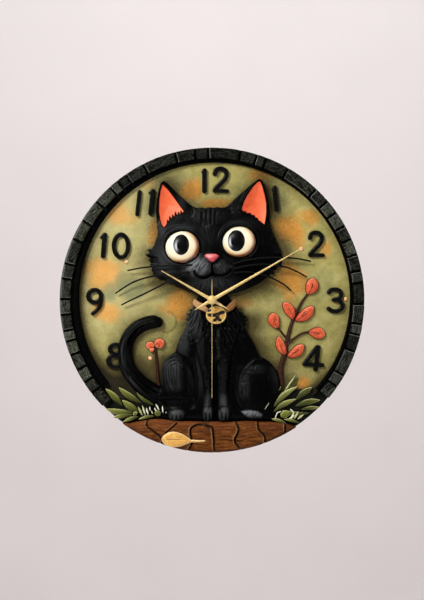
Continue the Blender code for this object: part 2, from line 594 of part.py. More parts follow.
ph_second_pinion = 0.1
ph_third = mate_phase(P_SECOND, 6, ph_second_pinion, P_THIRD, 45)
ph_third_pinion = 0.2
ph_centre = mate_phase(P_THIRD, 6, ph_third_pinion, P_SECOND, 48)
ph_inter_pinion = 0.3
ph_second = mate_phase(P_INTER, 8, ph_inter_pinion, P_SECOND, 40)
ph_rotor = 0.15
ph_inter = mate_phase(P_ROTOR, 6, ph_rotor, P_INTER, 36)
ph_cannon = 0.05
ph_motion = mate_phase(P_SECOND, 10, ph_cannon, P_MOTION, 30)
ph_motion_pinion = 0.25
ph_hour = mate_phase(P_MOTION, 8, ph_motion_pinion, P_SECOND, 32)
ph_knob = mate_phase(P_MOTION, 30, ph_motion, P_KNOB, 10)


def wheel(p, teeth, module, phase, layer, root=WHEEL, over=0.0):
    return prism(gear(p[0], p[1], teeth, module, phase, root), layer[0] + over, layer[1])


def windows(p, r_mid, r_hole, layer, n=4):
    return [disc(p[0] + r_mid * cos(2 * pi * k / n + 0.4), p[1] + r_mid * sin(2 * pi * k / n + 0.4), r_hole,
                 layer[0] + 1, layer[1] - 1, 10) for k in range(n)]


finish("second_wheel", combine([wheel(P_SECOND, 40, M_B, ph_second, L_SECOND),
                                wheel(P_SECOND, 6, M_C, ph_second_pinion, (-10.9, L_THIRD[1] - 0.05), PINION),
                                disc(0, 0, 0.5, PIVOT_BACK, -48.0, 20)],
                               windows(P_SECOND, 4.0, 1.2, L_SECOND)), M_GEAR, hinge=AXIS)
finish("centre_wheel", combine([wheel(P_SECOND, 48, M_D, ph_centre, L_CENTRE),
                                wheel(P_SECOND, 10, M_E, ph_cannon, (-13.8, L_MOTION[1] - 0.05), PINION),
                                disc(0, 0, 1.7, -12.8, MINUTE_HAND_Y[1], 24)],
                               windows(P_SECOND, 5.3, 1.5, L_CENTRE)
                               + [disc(0, 0, 0.85, -12.0, -48.0, 20)]), M_BRASS, hinge=AXIS)
finish("hour_wheel", combine([wheel(P_SECOND, 32, M_F, ph_hour, L_HOUR),
                              disc(0, 0, 2.7, -15.65, HOUR_HAND_Y[1], 28)],
                             windows(P_SECOND, 5.0, 1.2, L_HOUR) + [disc(0, 0, 1.95, -14.0, -46.0, 28)]),
       M_GEAR, hinge=AXIS)

H_THIRD = hinge_at("third_axis", P_THIRD)
finish("third_wheel", combine([wheel(P_THIRD, 45, M_C, ph_third, L_THIRD),
                               wheel(P_THIRD, 6, M_D, ph_third_pinion, (-12.3, L_CENTRE[1] - 0.05), PINION),
                               disc(P_THIRD[0], P_THIRD[1], 0.4, PIVOT_BACK, PIVOT_FRONT, 16)],
                              windows(P_THIRD, 4.6, 1.5, L_THIRD)), M_GEAR, P_THIRD, hinge=H_THIRD)
H_INTER = hinge_at("intermediate_axis", P_INTER)
finish("intermediate_wheel", combine([wheel(P_INTER, 36, M_A, ph_inter, L_INTER),
                                      wheel(P_INTER, 8, M_B, ph_inter_pinion, (-9.4, L_SECOND[1] - 0.05), PINION),
                                      disc(P_INTER[0], P_INTER[1], 0.4, PIVOT_BACK, PIVOT_FRONT, 16)]),
       M_GEAR, P_INTER, hinge=H_INTER)
H_ROTOR = hinge_at("rotor_axis", P_ROTOR)
finish("rotor", combine([disc(P_ROTOR[0], P_ROTOR[1], 3.2, -5.5, -8.0, 24),
                         wheel(P_ROTOR, 6, M_A, ph_rotor, (-7.9, L_INTER[1] - 0.05), PINION),
                         disc(P_ROTOR[0], P_ROTOR[1], 0.4, PIVOT_BACK, PIVOT_FRONT, 16)]),
       M_MAGNET, P_ROTOR, hinge=H_ROTOR)
H_MOTION = hinge_at("minute_wheel_axis", P_MOTION)
finish("minute_wheel", combine([wheel(P_MOTION, 30, M_E, ph_motion, L_MOTION),
                                wheel(P_MOTION, 8, M_F, ph_motion_pinion, L_MOTION_PINION, PINION)],
                               [disc(P_MOTION[0], P_MOTION[1], 0.75, -12, -18, 20)]),
       M_GEAR, P_MOTION, hinge=H_MOTION)
H_KNOB = hinge_at("set_knob_axis", P_KNOB)
grip = [(P_KNOB[0] + (5.6 if k % 2 else 6.0) * cos(2 * pi * k / 36), P_KNOB[1] + (5.6 if k % 2 else 6.0) * sin(2 * pi * k / 36))
        for k in range(36)]
finish("set_knob", combine([prism(grip, -0.7, -2.7),
                            disc(P_KNOB[0], P_KNOB[1], 1.2, -2.6, PIVOT_FRONT, 20),
                            wheel(P_KNOB, 10, M_E, ph_knob, (L_MOTION[0] + 0.05, L_MOTION[1] - 0.05), PINION)]),
       M_GEAR_TINT, P_KNOB, hinge=H_KNOB)


# ------------------------------------------------------------- movement case
def rounded(h, r, n=4):
    pts = []
    for cx, cz, a0 in ((h - r, h - r, 0), (r - h, h - r, 90), (r - h, r - h, 180), (h - r, r - h, 270)):
        for k in range(n + 1):
            pts.append(polar(cx, cz, r, a0 + 90 * k / n))
    return pts


inner = CASE_HALF - CASE_WALL
pivots = [P_THIRD, P_INTER, P_ROTOR]
finish("movement_case",
       combine([combine([prism(rounded(CASE_HALF, 4), CASE_BACK, CASE_FRONT)],
                        [prism([(-inner, -10.2), (inner, -10.2), (inner, inner - 2), (inner - 2, inner), (2 - inner, inner),
                                (-inner, inner - 2)], CASE_BACK + 2, FLOOR_Y),
                         prism([(-inner, 2 - inner), (2 - inner, -inner), (inner - 2, -inner), (inner, 2 - inner),
                                (inner, -11.6), (-inner, -11.6)], CASE_BACK + 2, FLOOR_Y)]),
                disc(0, 0, BUSH_R, FLOOR_Y - 0.2, -33.4, 32),
                disc(P_MOTION[0], P_MOTION[1], 0.65, FLOOR_Y - 0.5, -14.4, 20)],
               [disc(0, 0, BUSH_BORE, -16, -35, 32)]
               + [disc(x, z, 0.5, -16, PIVOT_FRONT - 0.3, 16) for x, z in pivots]
               + [disc(P_KNOB[0], P_KNOB[1], 1.32, -16, PIVOT_FRONT - 0.3, 20)]), M_CASE)

finish("movement_cover",
       combine([prism(rounded(CASE_HALF, 4), COVER_BACK, COVER_FRONT)],
               [block(-25.6, 25.6, COVER_BACK + 1, COVER_FRONT - 1, -26.6, -12.0),
                disc(P_KNOB[0], P_KNOB[1], 1.4, COVER_BACK + 1, COVER_FRONT - 1, 20),
                disc(0, 0, 0.6, -3.7, COVER_FRONT - 1, 16)]
               + [disc(x, z, 0.5, -3.7, COVER_FRONT - 1, 16) for x, z in pivots]), M_CASE)

finish("stator", combine([prism([(-22, 9.6), (8, 9.6), (8, 24.2), (-22, 24.2)], -6.3, -7.3)],
                         [prism([(-18.5, 19.2), (4.5, 19.2), (4.5, 21.6), (-18.5, 21.6)], -5.3, -8.3),
                          disc(P_ROTOR[0], P_ROTOR[1], 3.7, -5.3, -8.3, 28)]), M_STEEL)


def tube_x(x0, x1, y, z, hy, hz, r, n=4):
    def loop(ay, az, rr):
        pts = []
        for sy, sz, a0 in ((ay - rr, az - rr, 0), (rr - ay, az - rr, 90), (rr - ay, rr - az, 180), (ay - rr, rr - az, 270)):
            for k in range(n + 1):
                pts.append((y + sy + rr * cos(radians(a0 + 90 * k / n)), z + sz + rr * sin(radians(a0 + 90 * k / n))))
        return pts
    return sweep([[(x, a, b) for a, b in loop(hy, hz, r)] for x in (x0, x1)])


finish("coil", combine([tube_x(-17.6, 3.6, -6.8, 22.9, 1.6, 3.0, 1.2),
                        tube_x(-18.1, -16.9, -6.8, 22.9, 1.9, 3.4, 1.2),
                        tube_x(2.9, 4.1, -6.8, 22.9, 1.9, 3.4, 1.2)],
                       [prism([(-20, 21.3), (6, 21.3), (6, 24.5), (-20, 24.5)], -6.0, -7.6)]), M_COPPER)

finish("circuit_board", combine([block(10.4, 25.6, -5.9, -6.9, 7.5, 25.0),
                                 block(13.0, 19.0, -6.8, -8.2, 12.0, 17.0),
                                 rod_x(-8.6, 21.2, 1.5, 12.6, 20.6, 16),
                                 block(14.0, 19.0, -6.8, -8.8, 20.6, 21.8)]), M_BOARD)

finish("battery_contact_positive", combine([block(25.7, 26.1, -6.0, -13.6, -24.0, -13.4),
                                            block(25.5, 26.1, -8.5, -11.3, -20.8, -17.8)]), M_STEEL)
finish("battery_contact_negative", combine([block(-26.1, -25.7, -6.0, -13.6, -24.0, -13.4),
                                            block(-26.1, -25.2, -8.5, -11.3, -20.8, -17.8)]), M_STEEL)
finish("battery", combine([sweep([[(x, BATTERY_Y + r * cos(2 * pi * k / 32), BATTERY_Z + r * sin(2 * pi * k / 32))
                                   for k in range(32)]
                                  for x, r in ((-24.9, 6.5), (-24.4, 7.0), (23.4, 7.0), (23.9, 6.5))]),
                           rod_x(BATTERY_Y, BATTERY_Z, 2.7, 23.0, 25.1, 20)]), M_BATTERY,
       (0.0, 0.0), smooth=True)

finish("shaft_washer", combine([disc(0, 0, 6.5, RELIEF_BACK, -28.9, 32)], [disc(0, 0, 4.2, -27, -30, 32)]), M_STEEL)
finish("shaft_nut", combine([prism(circle(0, 0, 6.6, n=6), -29.2, -31.9)], [disc(0, 0, 4.15, -28, -33, 32)]), M_BRASS)

# hanger strap: clamped under the case, stepped back to the wall above it
strap = [(-19.3, -8.0), (-19.3, 31.5), (-2.9, 34.0), (-2.9, 49.0)]
pr = stroke(strap, 1.0)
section0 = [(-9.0, y, z) for y, z in pr]
section1 = [(9.0, y, z) for y, z in pr]
finish("hanger", combine([sweep([section0, section1])],
                         [disc(0, 0, 4.4, -18, -21, 32), disc(0, 41.5, 3.5, 0, -6, 32),
                          ]), M_STEEL)
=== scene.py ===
"""Looks of the relief cat wall clock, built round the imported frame.

Heights are worked out in millimetres on fine grids: x to the right, z up from the
hand shaft, h out from the wall.  place() turns them into the row frame in metres.
"""
import bpy
import bmesh
import numpy as np
from math import sin, cos, pi, radians, hypot, atan2, sqrt
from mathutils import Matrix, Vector, geometry


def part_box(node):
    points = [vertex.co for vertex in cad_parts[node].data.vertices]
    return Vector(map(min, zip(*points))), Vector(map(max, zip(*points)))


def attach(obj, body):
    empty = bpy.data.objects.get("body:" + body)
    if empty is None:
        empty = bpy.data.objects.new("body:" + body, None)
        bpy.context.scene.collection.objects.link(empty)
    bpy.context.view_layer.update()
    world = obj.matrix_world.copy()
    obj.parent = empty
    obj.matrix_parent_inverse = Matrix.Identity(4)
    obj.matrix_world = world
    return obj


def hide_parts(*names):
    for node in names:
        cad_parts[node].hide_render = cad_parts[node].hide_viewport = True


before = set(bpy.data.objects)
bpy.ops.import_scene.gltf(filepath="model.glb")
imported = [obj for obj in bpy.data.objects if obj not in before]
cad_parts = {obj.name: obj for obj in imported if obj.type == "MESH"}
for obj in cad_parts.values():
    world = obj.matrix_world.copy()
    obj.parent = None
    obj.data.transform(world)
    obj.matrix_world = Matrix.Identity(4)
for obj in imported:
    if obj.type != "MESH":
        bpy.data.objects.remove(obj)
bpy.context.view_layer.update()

lo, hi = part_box("clock_body")
HUB = Vector(((lo.x + hi.x) / 2, 0.0, (lo.z + hi.z) / 2))
RIM = (hi.x - lo.x) * 500.0                      # 152.4
FACE = -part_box("dial_panel")[1].y * 1000 + 2.5    # front of the dial plate, 27.9
FINE = 1.0


# ============================================================ numeric helpers
def sstep(a, b, v):
    t = np.clip((v - a) / (b - a), 0, 1)
    return t * t * (3 - 2 * t)


def smax(a, b, k):
    h = np.clip(0.5 + 0.5 * (a - b) / k, 0, 1)
    return b + (a - b) * h + k * h * (1 - h)


def spline(points, per=8, closed=False):
    P = np.asarray(points, float)
    n = len(P)
    out = []
    for i in range(n if closed else n - 1):
        if closed:
            p = [P[(i + k - 1) % n] for k in range(4)]
        else:
            p = [P[min(max(i + k - 1, 0), n - 1)] for k in range(4)]
        for s in range(per):
            t = s / per
            out.append(0.5 * (2 * p[1] + (p[2] - p[0]) * t + (2 * p[0] - 5 * p[1] + 4 * p[2] - p[3]) * t * t
                              + (3 * p[1] - p[0] - 3 * p[2] + p[3]) * t ** 3))
    if not closed:
        out.append(P[-1])
    return np.array(out)


def sd_poly(X, Z, pts):
    """Signed distance to a closed outline, positive inside."""
    pts = np.asarray(pts, float)[:, :2]
    px, pz = X.ravel(), Z.ravel()
    d2 = np.full(px.shape, 1e18)
    inside = np.zeros(px.shape, bool)
    for (ax, az), (bx, bz) in zip(pts, np.roll(pts, -1, 0)):
        ex, ez = bx - ax, bz - az
        L = ex * ex + ez * ez
        if L < 1e-12:
            continue
        wx, wz = px - ax, pz - az
        t = np.clip((wx * ex + wz * ez) / L, 0, 1)
        np.minimum(d2, (wx - ex * t) ** 2 + (wz - ez * t) ** 2, out=d2)
        c = (az <= pz) != (bz <= pz)
        if abs(ez) > 1e-12:
            inside ^= c & (px < ax + wz * ex / ez)
    d = np.sqrt(d2)
    return np.where(inside, d, -d).reshape(X.shape)


def run_along(X, Z, pts):
    """Distance to an open line, share of its length there, and the signed side."""
    pts = np.asarray(pts, float)[:, :2]
    seg = np.hypot(*(pts[1:] - pts[:-1]).T)
    total = seg.sum()
    best = np.full(X.shape, 1e9)
    share = np.zeros(X.shape)
    side = np.zeros(X.shape)
    done = 0.0
    for (ax, az), (bx, bz), L in zip(pts[:-1], pts[1:], seg):
        if L < 1e-9:
            continue
        ex, ez = (bx - ax) / L, (bz - az) / L
        wx, wz = X - ax, Z - az
        t = np.clip(wx * ex + wz * ez, 0, L)
        d = np.hypot(wx - ex * t, wz - ez * t)
        m = d < best
        best = np.where(m, d, best)
        share = np.where(m, (done + t) / total, share)
        side = np.where(m, np.sign(ex * wz - ez * wx) * d, side)
        done += L
    return best, share, side


def sd_line(X, Z, pts, radii):
    pts = np.asarray(pts, float)
    if np.isscalar(radii):
        radii = [radii] * len(pts)
    d, s, _ = run_along(X, Z, pts)
    seg = np.hypot(*(pts[1:, :2] - pts[:-1, :2]).T)
    at = np.concatenate([[0], np.cumsum(seg)]) / seg.sum()
    return np.interp(s, at, radii) - d


def sd_ellipse(X, Z, cx, cz, rx, rz, turn=0.0):
    c, s = cos(radians(turn)), sin(radians(turn))
    u, v = (X - cx) * c + (Z - cz) * s, -(X - cx) * s + (Z - cz) * c
    k = np.sqrt((u / rx) ** 2 + (v / rz) ** 2)
    g = np.sqrt((u / rx ** 2) ** 2 + (v / rz ** 2) ** 2)
    return np.where(k < 1e-6, min(rx, rz), (1 - k) * k / np.maximum(g, 1e-9))


def soft_noise(shape, size, seed):
    """Smooth noise of about unit spread, features `size` cells wide."""
    g = np.random.default_rng(seed).standard_normal(shape)
    fx = np.fft.fftfreq(shape[0])[:, None]
    fz = np.fft.fftfreq(shape[1])[None, :]
    f = np.fft.ifft2(np.fft.fft2(g) * np.exp(-2 * (pi * size * 0.5) ** 2 * (fx ** 2 + fz ** 2))).real
    return f / (f.std() + 1e-9)


def rounded(d, r, h):
    """Height of an edge rounded over r, reaching h."""
    t = np.clip(d / r, 0, 1)
    return h * np.sqrt(np.clip(1 - (1 - t) ** 2, 0, 1))


class Grid:
    def __init__(self, x0, x1, z0, z1, pitch):
        self.p = pitch * FINE
        self.xs = np.arange(x0 - self.p, x1 + 2 * self.p, self.p)
        self.zs = np.arange(z0 - self.p, z1 + 2 * self.p, self.p)
        self.X, self.Z = np.meshgrid(self.xs, self.zs, indexing="ij")
        self.H = np.zeros_like(self.X)
        self.F = None
        self.at = {}

    def noise(self, size_mm, seed):
        return soft_noise(self.X.shape, max(size_mm / self.p, 1.01), seed)

    def window(self, pts, pad):
        pts = np.asarray(pts, float)
        i0, i1 = np.searchsorted(self.xs, [pts[:, 0].min() - pad, pts[:, 0].max() + pad])
        j0, j1 = np.searchsorted(self.zs, [pts[:, 1].min() - pad, pts[:, 1].max() + pad])
        return slice(max(i0 - 1, 0), i1 + 1), slice(max(j0 - 1, 0), j1 + 1)

    def line(self, pts, w, amount, ends=0.5, key=None, sharp=2.0):
        """Raises (or lowers) a tapered line in the surface."""
        win = self.window(pts, 3 * w)
        X, Z = self.X[win], self.Z[win]
        if X.size == 0:
            return
        d, s, _ = run_along(X, Z, pts)
        g = np.exp(-(d / w) ** sharp)
        if ends:
            g = g * np.clip(np.sin(pi * np.clip(s, 0.002, 0.998)), 0, 1) ** ends
        self.H[win] += amount * g
        if key:
            a = self.at[key][win]
            self.at[key][win] = np.maximum(a, g)

    def fur(self, n, where, flow, length, w, depth, seed, key="crease_shade", bend=0.25):
        """Short brushed strokes that follow a flow, each marked in key (by default the painted crease shade)."""
        rng = np.random.default_rng(seed)
        x0, x1, z0, z1 = self.xs[0], self.xs[-1], self.zs[0], self.zs[-1]
        done = tries = 0
        while done < n and tries < n * 30:
            tries += 1
            x, z = rng.uniform(x0, x1), rng.uniform(z0, z1)
            if not where(x, z):
                continue
            L = rng.uniform(*length)
            pts = [(x, z)]
            bx = rng.normal(0, bend)
            for k in range(5):
                a = flow(*pts[-1]) + bx
                pts.append((pts[-1][0] + L / 5 * cos(a), pts[-1][1] + L / 5 * sin(a)))
            self.line(pts, rng.uniform(*w), -rng.uniform(*depth), 0.6, key)
            done += 1

    def value(self, x, z, field):
        i = min(max(int(round((x - self.xs[0]) / self.p)), 0), len(self.xs) - 1)
        j = min(max(int(round((z - self.zs[0]) / self.p)), 0), len(self.zs) - 1)
        return field[i, j]


CASES = {1: ["c0 e0 e3"], 2: ["c1 e1 e0"], 3: ["c0 c1 e1 e3"], 4: ["c2 e2 e1"], 5: ["c0 e0 e3", "c2 e2 e1"],
         6: ["c1 c2 e2 e0"], 7: ["c0 c1 c2 e2 e3"], 8: ["c3 e3 e2"], 9: ["c0 e0 e2 c3"], 10: ["c1 e1 e0", "c3 e3 e2"],
         11: ["c0 c1 e1 e2 c3"], 12: ["c2 c3 e3 e1"], 13: ["c0 e0 e1 c2 c3"], 14: ["c1 c2 c3 e3 e0"],
         15: ["c0 c1 c2 c3"]}

PIECES = []


def place(x, z, h):
    return np.stack([x / 1000 + HUB.x, -np.asarray(h, float) / 1000, z / 1000 + HUB.z], -1)


def new_object(name, co, faces, body, smooth=45, attrs=None):
    me = bpy.data.meshes.new(name)
    me.from_pydata([tuple(map(float, v)) for v in co], [], faces)
    me.validate(clean_customdata=False)
    if smooth:
        me.shade_smooth()
        me.set_sharp_from_angle(angle=radians(smooth))
    for k, v in (attrs or {}).items():
        a = me.attributes.new(k, "FLOAT", "POINT")
        a.data.foreach_set("value", np.asarray(v, np.float32))
    me.update()
    ob = bpy.data.objects.new(name, me)
    bpy.context.scene.collection.objects.link(ob)
    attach(ob, body)
    PIECES.append(ob)
    return ob


def relief(name, g, back, body="root", smooth=60, full_back=False):
    """Closed solid: the grid's surface inside F > 0, walls, and a flat back."""
    F, H = g.F.copy(), g.H
    for edge in (np.s_[0, :], np.s_[-1, :], np.s_[:, 0], np.s_[:, -1]):
        F[edge] = np.minimum(F[edge], -0.05)
    M = F > 0
    nx, nz = M.shape
    co_x, co_z, co_h = [g.X[M]], [g.Z[M]], [H[M]]
    extra = {k: [v[M]] for k, v in g.at.items()}
    node = np.full(M.shape, -1)
    node[M] = np.arange(M.sum())
    count = int(M.sum())

    def crossing(a, b, shape):
        nonlocal count
        cross = M[a] != M[b]
        idx = np.full(shape, -1)
        idx[cross] = np.arange(cross.sum()) + count
        count += int(cross.sum())
        fa, fb = F[a][cross], F[b][cross]
        t = np.clip(fa / (fa - fb), 0.03, 0.97)
        co_x.append(g.X[a][cross] * (1 - t) + g.X[b][cross] * t)
        co_z.append(g.Z[a][cross] * (1 - t) + g.Z[b][cross] * t)
        co_h.append(H[a][cross] * (1 - t) + H[b][cross] * t)
        for k, v in g.at.items():
            extra[k].append(v[a][cross] * (1 - t) + v[b][cross] * t)
        return idx

    A = np.s_[:-1, :]
    B = np.s_[1:, :]
    ex = crossing(A, B, (nx - 1, nz))
    A2, B2 = np.s_[:, :-1], np.s_[:, 1:]
    ez = crossing(A2, B2, (nx, nz - 1))
    X = np.concatenate(co_x)
    Z = np.concatenate(co_z)
    Hh = np.maximum(np.concatenate(co_h), back + 0.15)
    attrs = {k: np.concatenate(v) for k, v in extra.items()}
    n_front = len(X)
    code = M[:-1, :-1] * 1 + M[1:, :-1] * 2 + M[1:, 1:] * 4 + M[:-1, 1:] * 8
    src = {"c0": node[:-1, :-1], "c1": node[1:, :-1], "c2": node[1:, 1:], "c3": node[:-1, 1:],
           "e0": ex[:, :-1], "e1": ez[1:, :], "e2": ex[:, 1:], "e3": ez[:-1, :]}
    faces, edges = [], []
    for case, polys in CASES.items():
        where = code == case
        if not where.any():
            continue
        for p in polys:
            names = p.split()
            cols = np.stack([src[k][where] for k in names], 1)
            faces += cols.tolist()
            for q in range(len(names)):
                r = (q + 1) % len(names)
                if names[q][0] == "e" and names[r][0] == "e":
                    edges += cols[:, [q, r]].tolist()
    rim = sorted({v for e in edges for v in e})
    back_of = {v: n_front + k for k, v in enumerate(rim)}
    bx, bz = X[rim], Z[rim]
    for a, b in edges:
        faces.append([b, a, back_of[a], back_of[b]])
    nxt = {a: b for a, b in edges}
    loops, seen = [], set()
    for a in nxt:
        if a in seen:
            continue
        loop, c = [], a
        while c not in seen:
            seen.add(c)
            loop.append(c)
            c = nxt[c]
        loops.append(loop)
    groups = []          # outer loops with the holes inside them
    area = [0.5 * sum(X[l[i]] * Z[l[(i + 1) % len(l)]] - X[l[(i + 1) % len(l)]] * Z[l[i]] for i in range(len(l)))
            for l in loops]
    outers = [i for i, s in enumerate(area) if s > 0]
    for o in outers:
        groups.append([loops[o]])
    for i, s in enumerate(area):
        if s <= 0:
            p = np.array([X[loops[i][0]]]), np.array([Z[loops[i][0]]])
            best = min((area[o], k) for k, o in enumerate(outers)
                       if sd_poly(p[0], p[1], np.stack([X[loops[o]], Z[loops[o]]], 1))[0] > 0)
            groups[best[1]].append(loops[i])
    for grp in groups:
        flat = [v for l in grp for v in l]
        tris = geometry.tessellate_polygon([[Vector((X[v], Z[v], 0)) for v in l] for l in grp])
        for t in tris:
            a, b, c = (flat[k] for k in t)
            s = (X[b] - X[a]) * (Z[c] - Z[a]) - (X[c] - X[a]) * (Z[b] - Z[a])
            f = [back_of[a], back_of[b], back_of[c]]
            faces.append(f[::-1] if s > 0 else f)
    co = place(np.concatenate([X, bx]), np.concatenate([Z, bz]), np.concatenate([Hh, np.full(len(rim), back)]))
    attrs = {k: np.concatenate([v, v[rim]]) for k, v in attrs.items()}
    return new_object(name, co, faces, body, smooth, attrs)


def lathe(name, profile, body="root", n=160, centre=(0.0, 0.0), smooth=40, closed=True):
    """Closed (r, h) profile turned about an axis along Y; r = 0 points become poles."""
    P = np.asarray(profile, float)
    co, faces = [], []
    ids = []
    for r, h in P:
        if r < 1e-6:
            ids.append([len(co)] * n)
            co.append((centre[0], centre[1], h))
        else:
            ids.append(list(range(len(co), len(co) + n)))
            co += [(centre[0] + r * cos(2 * pi * k / n), centre[1] + r * sin(2 * pi * k / n), h) for k in range(n)]
    m = len(P)
    for i in range(m if closed else m - 1):
        j = (i + 1) % m
        for k in range(n):
            k2 = (k + 1) % n
            f = [ids[i][k], ids[j][k], ids[j][k2], ids[i][k2]]
            f = [v for q, v in enumerate(f) if v != f[q - 1]]
            if len(set(f)) >= 3:
                faces.append(f)
    co = np.array(co)
    return fix_normals(new_object(name, place(co[:, 0], co[:, 1], co[:, 2]), faces, body, smooth))


def fix_normals(ob):
    bm = bmesh.new()
    bm.from_mesh(ob.data)
    bmesh.ops.recalc_face_normals(bm, faces=bm.faces)
    bm.to_mesh(ob.data)
    bm.free()
    return ob


def tube(pts, radii, n=10, squash=1.0):
    """Rings and faces of a tapered tube through (x, z, h) points, closed at both ends."""
    P = np.asarray(pts, float)
    co, faces = [], []
    for i, p in enumerate(P):
        t = P[min(i + 1, len(P) - 1)] - P[max(i - 1, 0)]
        t = t / np.linalg.norm(t)
        a = np.cross(t, (0, 0, 1.0))
        a = a / np.linalg.norm(a)
        b = np.cross(a, t)
        for k in range(n):
            u = 2 * pi * k / n
            co.append(p + radii[i] * (cos(u) * a + squash * sin(u) * b))
    for i in range(len(P) - 1):
        for k in range(n):
            k2 = (k + 1) % n
            faces.append([i * n + k, i * n + k2, (i + 1) * n + k2, (i + 1) * n + k])
    faces.append(list(range(n))[::-1])
    faces.append([(len(P) - 1) * n + k for k in range(n)])
    return np.array(co), faces


# ============================================================ material helpers
class Mat:
    def __init__(self, name):
        self.m = bpy.data.materials.new(name)
        self.m.use_nodes = True
        self.nt = self.m.node_tree
        self.b = self.nt.nodes["Principled BSDF"]
        co = self.nt.nodes.new("ShaderNodeTexCoord")
        mp = self.nt.nodes.new("ShaderNodeMapping")
        mp.inputs["Scale"].default_value = (1000, 1000, 1000)
        self.nt.links.new(co.outputs["Object"], mp.inputs["Vector"])
        self.mm = mp.outputs["Vector"]

    def link(self, a, b):
        self.nt.links.new(a, b)

    def put(self, sock, v):
        if isinstance(v, bpy.types.NodeSocket):
            self.link(v, sock)
        elif isinstance(v, (tuple, list)) and len(v) == 3 and sock.type == "RGBA":
            sock.default_value = (*v, 1)
        else:
            sock.default_value = v

    def stretched(self, sx, sy, sz):
        mp = self.nt.nodes.new("ShaderNodeMapping")
        mp.inputs["Scale"].default_value = (sx, sy, sz)
        self.link(self.mm, mp.inputs["Vector"])
        return mp.outputs["Vector"]

    def noise(self, size, detail=3.0, rough=0.5, vec=None, warp=0.0):
        n = self.nt.nodes.new("ShaderNodeTexNoise")
        n.inputs["Scale"].default_value = 1.0 / size
        n.inputs["Detail"].default_value = detail
        n.inputs["Roughness"].default_value = rough
        n.inputs["Distortion"].default_value = warp
        self.link(vec or self.mm, n.inputs["Vector"])
        return n.outputs["Fac"]

    def combined(self, a, b, c):
        n = self.nt.nodes.new("ShaderNodeCombineXYZ")
        for k, v in enumerate((a, b, c)):
            self.put(n.inputs[k], v)
        return n.outputs["Vector"]

    def voronoi(self, size, feature="F1", vec=None):
        n = self.nt.nodes.new("ShaderNodeTexVoronoi")
        n.feature = feature
        n.inputs["Scale"].default_value = 1.0 / size
        self.link(vec or self.mm, n.inputs["Vector"])
        return n.outputs["Distance"]

    def ramp(self, fac, stops, mode="LINEAR"):
        n = self.nt.nodes.new("ShaderNodeValToRGB")
        n.color_ramp.interpolation = mode
        e = n.color_ramp.elements
        while len(e) > 1:
            e.remove(e[-1])
        for i, (p, c) in enumerate(stops):
            q = e[0] if i == 0 else e.new(p)
            q.position = p
            q.color = (*c, 1) if isinstance(c, (tuple, list)) else (c, c, c, 1)
        self.put(n.inputs["Fac"], fac)
        return n.outputs["Color"]

    def mix(self, fac, a, b, mode="MIX"):
        n = self.nt.nodes.new("ShaderNodeMix")
        n.data_type = "RGBA"
        n.blend_type = mode
        self.put(n.inputs[0], fac)
        self.put(n.inputs[6], a)
        self.put(n.inputs[7], b)
        return n.outputs[2]

    def math(self, op, a, b=0.0, clamp=False):
        n = self.nt.nodes.new("ShaderNodeMath")
        n.operation = op
        n.use_clamp = clamp
        self.put(n.inputs[0], a)
        self.put(n.inputs[1], b)
        return n.outputs[0]

    def range(self, v, a, b, c=0.0, d=1.0):
        n = self.nt.nodes.new("ShaderNodeMapRange")
        self.put(n.inputs[0], v)
        for k, x in zip((1, 2, 3, 4), (a, b, c, d)):
            n.inputs[k].default_value = x
        return n.outputs[0]

    def attr(self, name):
        n = self.nt.nodes.new("ShaderNodeAttribute")
        n.attribute_name = name
        return n.outputs["Fac"]

    def bump(self, height, dist_mm, strength=1.0, normal=None):
        n = self.nt.nodes.new("ShaderNodeBump")
        n.inputs["Strength"].default_value = strength
        n.inputs["Distance"].default_value = dist_mm / 1000
        self.put(n.inputs["Height"], height)
        if normal is not None:
            self.link(normal, n.inputs["Normal"])
        return n.outputs["Normal"]

    def done(self, color=None, rough=None, normal=None, spec=0.3, **kw):
        self.b.inputs["Specular IOR Level"].default_value = spec
        if color is not None:
            self.put(self.b.inputs["Base Color"], color)
        if rough is not None:
            self.put(self.b.inputs["Roughness"], rough)
        if normal is not None:
            self.link(normal, self.b.inputs["Normal"])
        for k, v in kw.items():
            self.put(self.b.inputs[k.replace("_", " ")], v)
        return self.m


def paint(name, dark, light, rough=(0.45, 0.6), grain=0.05, size=6.0, metal=0.0, coat=0.0, bump_size=0.8, spec=0.3):
    """Plain painted or moulded surface: mottled colour, uneven gloss, fine grain."""
    m = Mat(name)
    n1 = m.noise(size, 4, 0.6)
    col = m.ramp(m.range(n1, 0.3, 0.7), [(0, dark), (1, light)])
    fine = m.noise(bump_size, 3, 0.6)
    r = m.range(m.noise(size * 0.5, 4, 0.6), 0.3, 0.7, *rough)
    kw = {"Metallic": metal}
    if coat:
        kw["Coat Weight"] = coat
        kw["Coat Roughness"] = 0.15
    b = m.bump(m.math("ADD", m.math("MULTIPLY", fine, 0.6), m.math("MULTIPLY", n1, 0.4)), grain)
    out = m.done(col, r, b, spec)
    for k, v in kw.items():
        m.b.inputs[k].default_value = v
    return out


def use(ob, mat, slot, *nodes):
    ob.data.materials.clear()
    ob.data.materials.append(mat)
    if nodes:
        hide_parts(*nodes)
    return ob


